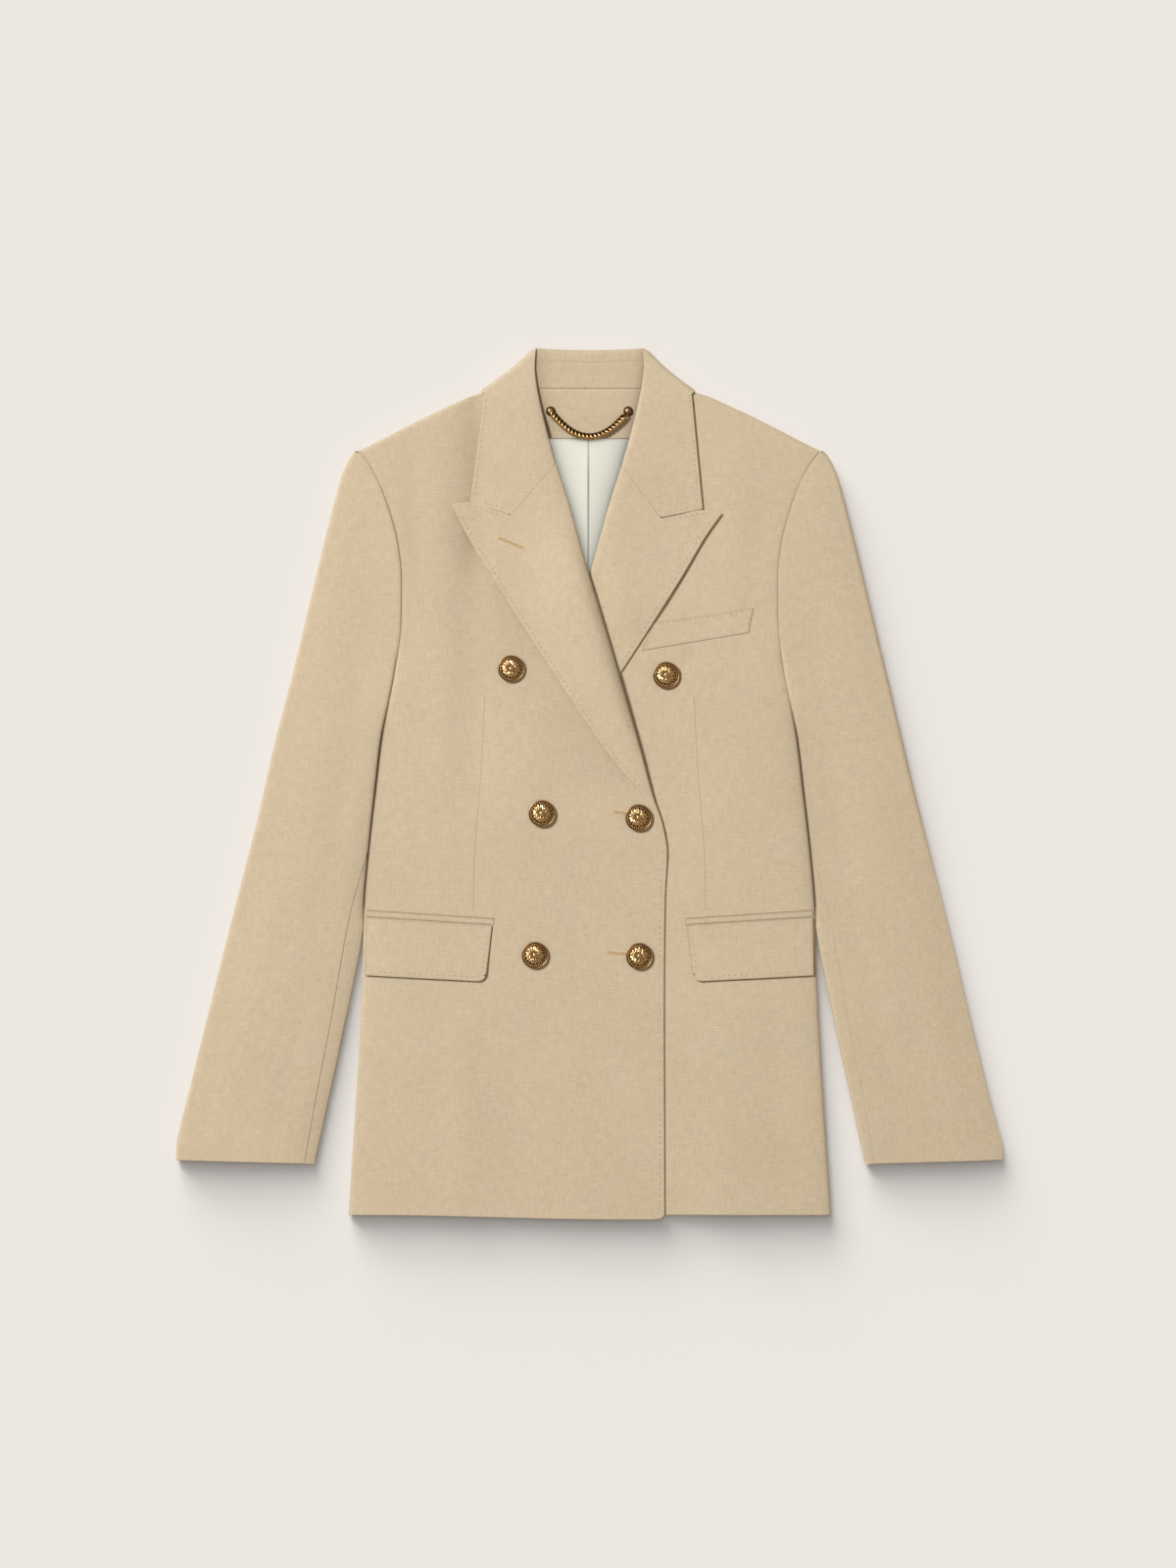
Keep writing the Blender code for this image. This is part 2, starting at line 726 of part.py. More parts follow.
# ---------------------------------------------------------------- lapels and collar
def layer_top(side, x, y):
    return right_top(x, y) if side == "right" else left_top(x, y)


def lapel(side):
    """The front turned back along its roll line, with the facing on top."""
    revers = REVERS[side]
    outer = along((revers.top_edge[-1],) + revers.outer_edge)
    gorge = along((revers.gorge_top, revers.notch))
    top_edge = along((revers.notch,) + revers.top_edge)
    head_line = joined(gorge, top_edge, NOTCH_SHARE)

    def inner(up):
        y = mix(LAPEL_FOOT.y, revers.gorge_top.y - LAPEL_GAP, up)
        return (front_edge(y), y)

    def outer_up(up):
        return outer(1.0 - up)

    def foot(across):
        return between(inner(0.0), outer_up(0.0), across)

    def head(across):
        out, y = head_line(across)
        return (out, y - LAPEL_GAP)

    lift = LAPEL_GAP + TURNED_WALL
    roll_turns = [LAPEL_ROLL_REACH * (1.0 - math.cos(math.radians(turn))) for turn in (0, 30, 60, 90)]
    rows = []
    for up in spread(19):
        width = math.dist(inner(up), outer_up(up))
        reach = min(1.0, 0.6 * width / LAPEL_ROLL_REACH)
        shares = [distance * reach / width for distance in roll_turns]
        rolled = shares[-1]
        for k, share in enumerate((0.15, 0.31, 0.48, 0.65, 0.82)):
            shares.append(max(share, rolled + 0.02 * (k + 1)))
        row = []
        for across in shares + [1.0]:
            out, y = coons(inner, outer_up, foot, head, across, up)
            place = SIGN[side] * out
            drop = (lift + GAP) * edge_share(out - front_edge(y), LAPEL_ROLL_REACH, FOLD_STEEP)
            row.append((place, y, layer_top(side, place, y) + lift - drop))
        rows.append(row)
    return cloth("lapel_" + side, rows, TURNED_WALL, flip=side == "right")


def collar_front_height(side, x, y):
    """Top face of the collar where it lies on a front, and over the stand's end."""
    on_front_top = layer_top(side, x, y) + LAPEL_GAP + TURNED_WALL
    at_corner = COLLAR_CREASE_TOP + LAPEL_GAP + TURNED_WALL
    return mix(on_front_top, at_corner, ease(340.0, 385.0, y))


def collar_side(side):
    """Stations of one half of the collar, from its end on the front to the centre back."""
    revers = REVERS[side]
    columns = (0.0, 0.012, 0.035, 0.08, 0.2, 0.36, 0.52, 0.68, 0.84, 1.0)
    creased = len(CREASE_SECTION)
    run = revers.collar_shoulder.out - COLLAR_CORNER.out
    rise = revers.collar_shoulder.y - COLLAR_CORNER.y
    outward = (-rise / math.hypot(run, rise), run / math.hypot(run, rise))

    def moved(point, distance):
        return (point[0] + outward[0] * distance, point[1] + outward[1] * distance)

    fold_inner = moved(COLLAR_CORNER, -COLLAR_FOLD_REACH)
    fold_outer = moved(revers.collar_shoulder, -COLLAR_FOLD_REACH)
    gorge = along((revers.gorge_top, revers.notch))
    end_line = joined(gorge, along((revers.notch, revers.collar_corner)), NOTCH_SHARE)

    def roll(up):
        y = mix(revers.gorge_top.y, fold_inner[1], up)
        return (mix(front_edge(y), fold_inner[0], ease(0.8, 1.0, up)), y)

    def free_edge(up):
        return between(revers.collar_corner, fold_outer, up)

    def fold_line(across):
        return between(fold_inner, fold_outer, across)

    stations = []
    for up in spread(9):
        station = []
        for across in columns:
            out, y = coons(roll, free_edge, end_line, fold_line, across, up)
            top = collar_front_height(side, SIGN[side] * out, y)
            drop = COLLAR_ROLL_DROP * (1.0 - ease(350.0, 384.0, y))
            rolled = edge_share(math.dist((out, y), roll(up)), COLLAR_ROLL_REACH, 70.0)
            station.append((SIGN[side] * out, y, top - drop * rolled))
        stations.append(station)
    top_station = stations[-1]
    lows = [crease.rise for crease in CREASE_SECTION] + [0.0] * (len(columns) - creased)
    for turn in (30.0, 60.0, 90.0, 120.0, 150.0):
        station = []
        share = (1.0 - math.cos(math.radians(turn))) / 2.0
        for k, across in enumerate(columns):
            out, y = moved(fold_line(across), COLLAR_FOLD_REACH * math.sin(math.radians(turn)))
            station.append((SIGN[side] * out, y, mix(top_station[k][2], lows[k], share)))
        stations.append(station)
    for share in (0.0, 0.08, 0.2, 0.36, 0.55, 0.77, 1.0):
        station = []
        for k, across in enumerate(columns):
            start = fold_line(across)
            out = start[0] * (1.0 - share)
            inset = CREASE_SECTION[min(k, creased - 1)].inset
            past_crease = max(0.0, across - columns[creased - 1]) / (1.0 - columns[creased - 1])
            straight = mix(COLLAR_TOP_Y - inset, collar_back_edge(out), past_crease)
            y = mix(start[1], straight, ease(0.0, 0.3 + 0.3 * past_crease, share))
            station.append((SIGN[side] * out, y, lows[k]))
        stations.append(station)
    return stations


def collar_fall():
    right = collar_side("right")
    left = collar_side("left")
    return cloth("collar_fall", right + left[-2::-1], TURNED_WALL, flip=True)


def collar_stand():
    foot_top = NECK_LIFT + CLOTH_WALL + GAP + TURNED_WALL
    foot_y = NECKLINE_Y + GAP
    end_line = along(((51.6, foot_y), (52.2, 372.0), (50.6, 382.0), (47.2, COLLAR_TOP_Y)))
    levels = [mix(foot_y, COLLAR_TOP_Y - CREASE_REACH, share) for share in spread(5)]
    levels += [COLLAR_TOP_Y - distance * CREASE_REACH / FOLD_REACH for distance in FOLD_COLUMNS]
    crease_drop = COLLAR_CREASE_TOP - CREASE_MEETS - GAP / 2.0 - FOLD_STRAIGHT
    rows = []
    for y in levels:
        top = mix(foot_top, COLLAR_CREASE_TOP, ease(NECKLINE_Y, COLLAR_TOP_Y - CREASE_REACH, y))
        z = top - crease_drop * edge_share(COLLAR_TOP_Y - y, CREASE_REACH, FOLD_STEEP)
        up = (y - foot_y) / (COLLAR_TOP_Y - foot_y)
        half = end_line(up)[0]
        row = []
        for across in spread(9):
            x = mix(-half, half, across)
            row.append((x, y - 0.9 * up * math.cos(math.pi * x / (2.0 * half)), z))
        rows.append(row)
    rows.append([(x, y, z - FOLD_STRAIGHT) for x, y, z in rows[-1]])
    return cloth("collar_stand", rows, TURNED_WALL)


# ---------------------------------------------------------------- inside the neck
def facing_top(x, y):
    """Top face of the neck facing, which lies on the back."""
    return neck_lift(x, y) + CLOTH_WALL + 2.0 * GAP + TRIM_WALL


def neck_facing():
    rows = []
    for y in [mix(FACING_HEM_Y, NECKLINE_Y - GAP, share) for share in spread(8)]:
        half = front_edge(y) + mix(4.0, 6.0, ease(FACING_HEM_Y, NECKLINE_Y, y))
        xs = [mix(-half, half, share) for share in spread(9)]
        rows.append([(x, y, facing_top(x, y)) for x in xs])
    return cloth("neck_facing", rows, TRIM_WALL)


def body_lining():
    rows = []
    for y in [mix(LINING_FOOT_Y, FACING_HEM_Y - GAP, share) for share in spread(10)]:
        half = max(front_edge(y), 0.0) + 5.0
        rows.append([(mix(-half, half, share), y, CLOTH_WALL + GAP + TRIM_WALL) for share in spread(5)])
    return cloth("body_lining", rows, TRIM_WALL, finish=LINING_SATIN)


# ---------------------------------------------------------------- pockets
def laid_strip(name, side, pocket, wall, rows_up, corner=0.0):
    """A strip that lies on a front, its points taken from the front and moved out."""
    foot_line = along((pocket.inner_foot, pocket.outer_foot))
    head_line = along((pocket.inner_top, pocket.outer_top))
    inner_line = along((pocket.inner_foot, pocket.inner_top))
    outer_line = along((pocket.outer_foot, pocket.outer_top))
    width = math.dist(pocket.inner_top, pocket.outer_top)
    height = math.dist(pocket.inner_top, pocket.inner_foot)
    rows = []
    for up in rows_up:
        row = []
        for across in STRIP_COLUMNS:
            out, y = coons(inner_line, outer_line, foot_line, head_line, across, up)
            near_side = max(0.0, 1.0 - across * width / corner) if corner else 0.0
            near_foot = max(0.0, 1.0 - up * height / corner) if corner else 0.0
            y += corner * (1.0 - math.sqrt(1.0 - near_side**2)) * near_foot
            row.append(on_front(side, out, y, GAP + wall))
        rows.append(row)
    return cloth(name, rows, wall, flip=side == "right")


def pockets():
    flap_rows = (0.0, 0.06, 0.14, 0.35, 0.6, 0.8, 1.0)
    for side in ("right", "left"):
        laid_strip("pocket_flap_" + side, side, FLAP, TURNED_WALL, flap_rows, FLAP_CORNER_REACH)
        laid_strip("pocket_jet_" + side, side, JET, TRIM_WALL, (0.0, 0.5, 1.0))
    laid_strip("breast_welt", "left", WELT, TURNED_WALL, (0.0, 0.35, 0.7, 1.0))


# ---------------------------------------------------------------- metal
def turned(name, profile, steps, place, finish):
    """A turned piece from (radius, height) points, run from its top down its outer side."""
    mesh = bpy.data.meshes.new(name)
    vertices = [(radius * MM, 0.0, height * MM) for radius, height in profile]
    mesh.from_pydata(vertices, [(k, k + 1) for k in range(len(profile) - 1)], [])
    piece = add_object(name, mesh, finish)
    screw = piece.modifiers.new("turn", "SCREW")
    screw.steps = steps
    screw.render_steps = steps
    screw.use_merge_vertices = True
    screw.merge_threshold = 0.00001
    piece.location = Vector(place) * MM
    return piece


def buttons():
    for seat in BUTTONS:
        x, y, top = on_front(seat.side, seat.out, seat.y, 0.0)
        for turn in (0.0, 90.0, 180.0, 270.0):
            out = seat.out + SHANK_RADIUS * math.cos(math.radians(turn))
            level = seat.y + SHANK_RADIUS * math.sin(math.radians(turn))
            top = max(top, front_height(seat.side, out, level))
        turned(seat.name, BUTTON_PROFILE, BUTTON_STEPS, (x, y, top), AGED_BRASS)


def stud_profile():
    points = []
    for turn in (0.0, 30.0, 60.0, 90.0):
        radius = STUD_RADIUS * math.sin(math.radians(turn))
        points.append(ProfilePoint(radius, mix(0.7, STUD_HEIGHT, math.cos(math.radians(turn)))))
    return points + [ProfilePoint(STUD_RADIUS, GAP), ProfilePoint(0.0, GAP)]


def hanger_chain():
    for side in ("right", "left"):
        x = SIGN[side] * STUD_OUT
        top = facing_top(x, STUD_Y + STUD_RADIUS)
        turned("chain_stud_" + side, stud_profile(), 16, (x, STUD_Y, top), AGED_BRASS)
    half = STUD_OUT - STUD_RADIUS - 2.0 * GAP
    rows = []
    for share in spread(CHAIN_STEPS):
        x = mix(-half, half, share)
        bend = x / STUD_OUT
        y = STUD_Y - CHAIN_SAG * (1.0 - bend * bend)
        slope = 2.0 * CHAIN_SAG * bend / STUD_OUT
        across = Vector((-slope, 1.0, 0.0)).normalized()
        row = []
        for offset, below in CHAIN_SECTION:
            point = Vector((x, y, 0.0)) + across * offset * CHAIN_WIDTH
            seat = facing_top(point.x, point.y + CHAIN_WIDTH / 2.0) + 2.0 * GAP
            row.append((point.x, point.y, seat + CHAIN_WALL - below))
        rows.append(row)
    return cloth("hanger_chain", rows, CHAIN_WALL, flip=True, finish=AGED_BRASS)


def build():
    for side in ("right", "left"):
        front_panel(side)
        side_panel(side)
        back_panel(side)
        sleeve_top(side)
        sleeve_under(side)
        lapel(side)
    collar_fall()
    collar_stand()
    neck_facing()
    body_lining()
    pockets()
    buttons()
    hanger_chain()


for old in list(bpy.data.objects):
    bpy.data.objects.remove(old, do_unlink=True)
BLAZER = new_collection("double_breasted_blazer")
build()
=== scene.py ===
"""The looks of a double breasted blazer laid flat, dressed over the solids of its CAD model.

Each panel is built as a thin shell on its solid's own form, from the same named sizes,
with its soft folds, rolled edges, weave and sewing added. Tables are in millimetres.
"Out" is the distance out from the centre line, as on the solids.
"""

import json
import math
import random
from collections import namedtuple

import bpy
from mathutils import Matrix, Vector

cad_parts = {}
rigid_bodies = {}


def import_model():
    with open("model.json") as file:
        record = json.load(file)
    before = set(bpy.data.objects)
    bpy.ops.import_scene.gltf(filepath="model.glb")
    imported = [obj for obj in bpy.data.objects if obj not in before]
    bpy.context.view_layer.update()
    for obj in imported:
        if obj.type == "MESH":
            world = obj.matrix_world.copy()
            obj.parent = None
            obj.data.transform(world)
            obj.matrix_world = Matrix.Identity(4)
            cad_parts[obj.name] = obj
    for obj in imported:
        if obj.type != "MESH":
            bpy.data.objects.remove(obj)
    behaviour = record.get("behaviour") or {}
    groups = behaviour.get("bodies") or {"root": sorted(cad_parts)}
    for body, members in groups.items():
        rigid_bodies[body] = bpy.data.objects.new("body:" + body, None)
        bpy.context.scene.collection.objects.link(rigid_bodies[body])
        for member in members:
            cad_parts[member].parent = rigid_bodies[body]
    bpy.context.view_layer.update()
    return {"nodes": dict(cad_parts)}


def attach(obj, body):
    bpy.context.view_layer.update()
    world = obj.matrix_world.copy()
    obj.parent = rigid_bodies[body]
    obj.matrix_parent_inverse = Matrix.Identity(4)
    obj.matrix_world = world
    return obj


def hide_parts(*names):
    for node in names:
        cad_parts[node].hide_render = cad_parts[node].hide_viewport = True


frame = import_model()

MM = 0.001
SIGN = {"right": -1.0, "left": 1.0}  # the wearer's right is at -X

# Walls and layers
CLOTH_WALL = 1.8  # fronts, backs, side panels and sleeves: cloth, canvas and lining
TURNED_WALL = 1.5  # collar, lapels, flaps and welt
TRIM_WALL = 1.0  # neck facing and body lining
GAP = 0.3  # between pieces at a seam, and between layers
LAPEL_GAP = 0.6  # under a lapel or collar, which don't lie as close as a flap
FRONT_TOP = 7.3  # top face of the fronts and sleeves, over a folded side
OVERLAP_DIP = 2.1  # how far the left front sinks where it lies on the back
LAPEL_RISE = 2.4  # how far the right front lies higher over the hidden lapel
NECK_LIFT = TURNED_WALL + GAP  # the back lies on the collar's fall at the neck
COLLAR_CREASE_TOP = 6.0  # top face of the collar stand at its crease

# Edges
FOLD_REACH = 4.0  # how far a folded edge rounds, across
FOLD_STEEP = 90.0  # degrees that it turns down at its edge
FOLD_STRAIGHT = 0.7  # upright stretch where two folded edges meet
FOLD_MEETS = FRONT_TOP / 2.0  # height at which the two sides of a fold meet
FOLD_HIGH = FOLD_MEETS + GAP / 2.0 + FOLD_STRAIGHT  # where the upper side turns upright
FOLD_LOW = FOLD_MEETS - GAP / 2.0 - FOLD_STRAIGHT  # where the lower side does
SEAM_DROP = 0.35  # how far the top face sinks into an armhole seam
SEAM_STEEP = 28.0
UNDER_SEAM_RISE = 0.5  # how far the underside rises into an armhole seam
LAPEL_TUCK = 3.0  # the front's own edge stops this far inside the lapel's roll

# Levels up the garment
HEM_Y = -385.4
FRONT_HEM_DIP = 4.0  # the right front's hem is lower at its free edge
CUFF_INNER_Y = -339.8
CUFF_OUTER_Y = -336.4
UNDERARM_Y = 94.0
ARMHOLE_BACK_Y = 134.0  # where the side panel ends in the armhole
SHOULDER_TIP = (205.5, 297.3)
CROWN_Y = 296.4
NECK_POINT = (66.0, 362.0)
NECKLINE_Y = 352.5
FACING_HEM_Y = 308.4
LINING_FOOT_Y = 176.0
COLLAR_TOP_Y = 388.9
SIDE_PANEL_WIDTH = 55.0
SHOULDER_DEPTH = 650.0  # hem to shoulder, which turns a distance into a share of a panel

# Levels of the rows that the body and the sleeve share, so that their seam points agree
HEM_ROWS = (-385.4, -330.0, -270.0, -215.0, -171.0)
WAIST_ROWS = (-140.0, -113.0, -85.0, -60.0, -38.0, -12.0, 30.0, 64.0, 94.0)
ARMHOLE_ROWS = (108.0, 121.0, 134.0, 158.0, 182.0, 206.0, 228.0, 248.0, 266.0, 280.0, 289.5)
SLEEVE_ROWS = (-330.0, -305.0, -270.0, -230.0, -185.0)
CROWN_ROWS = (293.0, 295.0, CROWN_Y)

# Lines up the garment, each as rows of a level and how far out the line is there.
# The body's folded side, then the armhole seam up to the shoulder tip
BODY_SIDE = (
    (-385.4, 215.3), (-240.0, 206.0), (-171.0, 202.6), (-113.0, 201.4), (-62.0, 197.2),
    (0.0, 190.2), (40.0, 185.4), (72.0, 179.2), (96.0, 174.4), (144.0, 168.2),
    (184.0, 167.8), (212.0, 170.6), (240.0, 177.4), (267.0, 187.3), (284.0, 196.0),
    (297.3, 205.5),
)  # fmt: skip
# A front's free edge, then the roll line of its lapel and of the collar
FRONT_EDGE = (
    (-385.4, -67.2), (-193.8, -66.5), (-103.7, -67.4), (-61.7, -69.4), (-39.8, -66.0),
    (-12.7, -57.3), (30.2, -45.9), (98.8, -26.3), (159.9, -8.2), (188.6, 0.5),
    (220.0, 9.3), (252.4, 18.5), (285.3, 29.2), (324.2, 39.8), (353.9, 46.4),
    (385.0, 50.6),
)  # fmt: skip
# Where a front stops under the collar: how far out of the roll line
FRONT_UNDER_COLLAR = ((285.3, 2.4), (330.0, 11.0), (362.0, 18.5))
SLEEVE_OUTER = (
    (-336.4, 369.2), (-325.0, 368.2), (-265.0, 355.2), (-172.0, 332.2), (-70.0, 306.3),
    (0.0, 288.2), (68.7, 272.0), (132.6, 256.7), (206.9, 239.0), (258.6, 226.0),
    (276.0, 221.0), (286.6, 216.4), (292.0, 213.3), (295.0, 210.7), (296.4, 208.8),
)  # fmt: skip
# The sleeve's inner edge where it hangs clear of the body
SLEEVE_INNER = (
    (-339.8, 245.8), (-284.0, 233.9), (-228.0, 221.5), (-180.0, 211.7), (-140.0, 203.9),
    (-110.0, 200.0),
)  # fmt: skip
# The forearm seam: how far it lies in from the sleeve's inner edge on the top face
FOREARM_SEAM = (
    (-339.8, 8.8), (-272.0, 11.4), (-196.0, 13.2), (-139.0, 14.7), (-116.0, 11.8),
    (-93.0, 7.0), (-60.0, 0.0),
)  # fmt: skip

# Each side's collar end and lapel: the wearer's right lies over the left. A place is how far
# out it is, and its level.
Revers = namedtuple("Revers", "collar_shoulder gorge_top notch collar_corner top_edge outer_edge")
LAPEL_TOE = ((-21.8, 19.7), (-50.6, -13.6), (-61.0, -29.0))
REVERS = {
    "right": Revers(
        collar_shoulder=(97.6, 352.4),
        gorge_top=(29.8, 285.3),
        notch=(70.4, 239.2),
        collar_corner=(106.3, 251.6),
        top_edge=((85.3, 244.4), (106.3, 251.4), (123.3, 250.0)),
        outer_edge=((110.7, 224.4), (88.2, 187.0), (48.3, 123.6), (15.8, 73.9)) + LAPEL_TOE,
    ),
    "left": Revers(
        collar_shoulder=(95.4, 352.0),
        gorge_top=(28.6, 284.0),
        notch=(63.4, 237.0),
        collar_corner=(101.1, 244.9),
        top_edge=((82.0, 241.0), (101.1, 244.7), (118.4, 241.6)),
        outer_edge=((103.7, 220.9), (83.6, 186.8), (45.0, 125.5), (14.0, 78.0)) + LAPEL_TOE,
    ),
}
COLLAR_SIDE = ((250.0, 108.0), (352.4, 97.6))  # the collar's edge beside the right front
LAPEL_FOOT_Y = -31.0
NOTCH_SHARE = 0.48  # how much of the lapel's head, or of the collar's end, is gorge seam
LAPEL_ROLL_REACH = 1.8  # how far the lapel rounds at its roll line, across

# The collar's folded shoulder edge runs from this crease corner out to its free edge
COLLAR_CORNER = (51.2, 388.9)
COLLAR_BACK_DEPTH = 52.0  # crease to free edge at the centre back, lying underneath
COLLAR_FOLD_REACH = 5.0
COLLAR_ROLL_REACH = 2.4
COLLAR_ROLL_DROP = 1.6
CREASE_REACH = 4.9
CREASE_LOW = COLLAR_CREASE_TOP / 2.0 - GAP / 2.0 - FOLD_STRAIGHT
# The fall's section at its crease: the share across, how far in from the crease, how high
CREASE_SECTION = (
    (0.0, 0.0, CREASE_LOW + FOLD_STRAIGHT),
    (0.012, 0.0, CREASE_LOW),
    (0.035, 1.2, 0.9),
    (0.08, 5.0, 0.0),
)

# Pockets, as corners on one half; the flaps and jets are the same on the other
Pocket = namedtuple("Pocket", "inner_top outer_top outer_foot inner_foot")
FLAP = Pocket((86.8, -126.6), (199.4, -119.3), (199.8, -171.4), (92.8, -177.0))
JET = Pocket((85.2, -120.6), (199.4, -113.2), (199.4, -118.8), (85.4, -126.0))
WELT = Pocket((57.8, 143.7), (146.2, 156.7), (142.2, 134.6), (46.8, 118.6))
FLAP_CORNER_REACH = 7.0

# ---------------------------------------------------------------- what only the looks have
ROLL_REACH = 0.9  # how far a turned edge rounds over, across
ROLL_DROP = 0.55
EDGE_STEPS = (0.0, 0.08, 0.25, 0.5, 0.9, 1.8, 3.6)  # distances of the grid's lines at an edge
EDGE_REST = 0.25  # share of LAPEL_RISE that the right front loses at its free edge
BELLY = {"right": 7.2, "left": 2.8}  # how far a lapel or collar stands off by its roll line
BELLY_REACH = {"right": 5.5, "left": 1.6}
BELLY_UP = {"right": 0.32, "left": 0.55}  # share of it left beside the neck
EDGE_LIFT = 0.55  # share of it at the outer edge, high on the lapel and on the collar
EDGE_LIFT_LEVELS = {"right": (215.0, 290.0), "left": (128.0, 165.0)}  # where that sets in
SIDE_DROP = 1.7  # how far a front falls away towards its side, before the fold
SIDE_REACH = 9.0
SLEEVE_FALL = {"right": (3.3, 0.8), "left": (0.8, 2.8)}  # at the inner and the outer fold
SLEEVE_FALL_REACH = 19.0
SLEEVE_BEND = {  # how far the outer edge bends out, by level
    "right": ((-40.0, 0.0), (26.0, 1.6), (92.0, 0.0)),
    "left": ((-336.0, 0.0), (-285.0, -2.4), (-235.0, -2.4), (-150.0, -1.2), (-10.0, 0.0)),
}
SHOULDER_BULGE = 2.6
COLLAR_SAG = 2.6  # how far the collar's fold over the shoulder bends in
COLLAR_EAR = 1.4  # and how far its free end is pulled in
TOP_SAG = 1.6  # how far the crease and the stand hang down behind the neck
HEM_CORNER = 7.0
FLAP_LIFT = 1.0
SEWN_WALL = 0.35  # welt and jets lie flatter than their solids, as they are sewn down
SEWN_GAP = 0.12
LAPEL_LENGTH = 300.0
COLLAR_LENGTH = 120.0
SLEEVE_SLOPE = 13.0  # degrees that a sleeve's grain leans out
LAPEL_SLOPE = 18.0
STAND_SEAM_Y = 378.0
STAND_SEAM_DEPTH = 0.18
# The stand's end, up from the neckline
STAND_END = ((51.6, NECKLINE_Y + GAP), (52.2, 372.0), (50.9, 382.0), (48.6, COLLAR_TOP_Y))
GORGE_GAP = 0.16  # between lapel and collar where a seam joins them
NOTCH_GAP = {"right": 0.2, "left": 0.6}
NOTCH_ROLL = {"right": 0.45, "left": 1.0}
STRIP_PAINTED_SHADE = 0.5  # painted shade at the edges of flaps, jets and welt
SEAM_PAINTED_SHADE = {"right": 0.65, "left": 0.3}  # painted shade in the armhole seams
SLEEVE_PAINTED_SHADE = {"right": 0.11, "left": 0.0}  # painted shade along the sleeve's inner edge, low down
SEAM_GAP = 0.1  # between sewn pieces
FOREARM_GAP = {"right": 0.24, "left": 0.04}
SIDE_GAP = 0.35  # between the body's fold and the sleeve beside it
PLEAT_X = -1.0
STITCH_PITCH = 5.2
STITCH_LENGTH = 1.9
STITCH_RADIUS = 0.45
STITCH_SINK = 0.15
STITCH_INSET = 4.0
STITCH_FLATNESS = 0.7
STITCH_PROFILE = ((-1.0, 0.35), (-0.6, 0.9), (0.0, 1.0), (0.6, 0.9), (1.0, 0.35))
SEAM_STITCH = (2.3, 1.6, 0.3, 0.1)  # pitch, length, radius and sink
LAPEL_STITCHES_FROM = {"right": 0.09, "left": 0.45}  # share up the lapel where they start
DART_RADIUS = 0.28
LINK_PITCH = 3.6
LINK_HALF_LENGTH = 3.5
LINK_HALF_WIDTH = 2.1
LINK_WIRE = 1.0
LINK_LEAN = 0.62  # how far a link's length leans aside from the chain's line
LINK_TILT = 0.7  # radians that it is turned about its length
SHANK_RADIUS = 2.6
STUD_OUT = 34.6
STUD_Y = 332.5
STUD_RADIUS = 3.9
# A stud's section past its dome, as radius and height, down to the facing
STUD_RIM = ((STUD_RADIUS + 0.35, 0.55), (STUD_RADIUS + 0.4, 0.25), (STUD_RADIUS, 0.0))
STUD_SIDES = 40
CHAIN_SAG = 22.3
CHAIN_LIFT = 2.1  # from the facing up to the middle of the wire

Button = namedtuple("Button", "name side out y")
BUTTONS = (
    Button("button_chest_right", "right", 69.8, 102.4),
    Button("button_chest_left", "left", 68.5, 96.7),
    Button("button_waist_right", "right", 42.4, -26.7),
    Button("button_waist_left", "right", -43.8, -30.5),
    Button("button_low_right", "right", 48.6, -153.2),
    Button("button_low_left", "right", -44.5, -154.1),
)
# A button's section, as radius and height, from its middle out over the rim and under
BUTTON_DOME = (
    (0.0, 5.0), (2.0, 4.95), (4.0, 4.75), (6.0, 4.35), (8.0, 3.75), (8.9, 3.3), (9.7, 3.15),
    (10.5, 2.9), (10.9, 3.2), (11.2, 3.5), (11.5, 3.5), (11.8, 3.3), (12.0, 2.9),
    (11.6, 2.2), (9.0, 1.6), (3.4, 1.3), (2.6, 0.3),
)  # fmt: skip
BUTTON_FACE = 13  # how many of these rows face up
BUTTON_RADII = [0.2 * k for k in range(60)] + [11.9, 12.0]  # the rings of its face
BUTTON_SIDES = 192
BUTTON_RIM = 10.7  # radius of the rim round the relief
AGE_UNDER = 0.8  # how dark the brass is: underneath, and on the rim
AGE_RIM = 0.45
BRIGHT_RELIEF = 0.68  # the height of relief at which the brass is worn bright
# Petals in each ring, where the ring starts and ends, its height and its turn
PETAL_RINGS = ((8, 2.8, 6.0, 1.2, 0.0), (8, 3.6, 7.7, 0.95, 0.5), (16, 5.2, 8.8, 0.7, 0.25))

Buttonhole = namedtuple("Buttonhole", "name on start_x start_y end_x end_y eyelet")
BUTTONHOLES = (
    Buttonhole("lapel_buttonhole", "lapel_right", -80.9, 219.2, -59.9, 210.4, 1.0),
    Buttonhole("waist_buttonhole", "front_right", 22.8, -25.4, 34.0, -27.0, 0.0),
    Buttonhole("low_buttonhole", "front_right", 16.7, -151.0, 34.0, -152.4, 0.0),
)

# The waist dart, from its top down to the pocket
DART = ((93.5, 77.5), (96.4, 17.0), (103.2, -79.0), (103.6, -113.5))

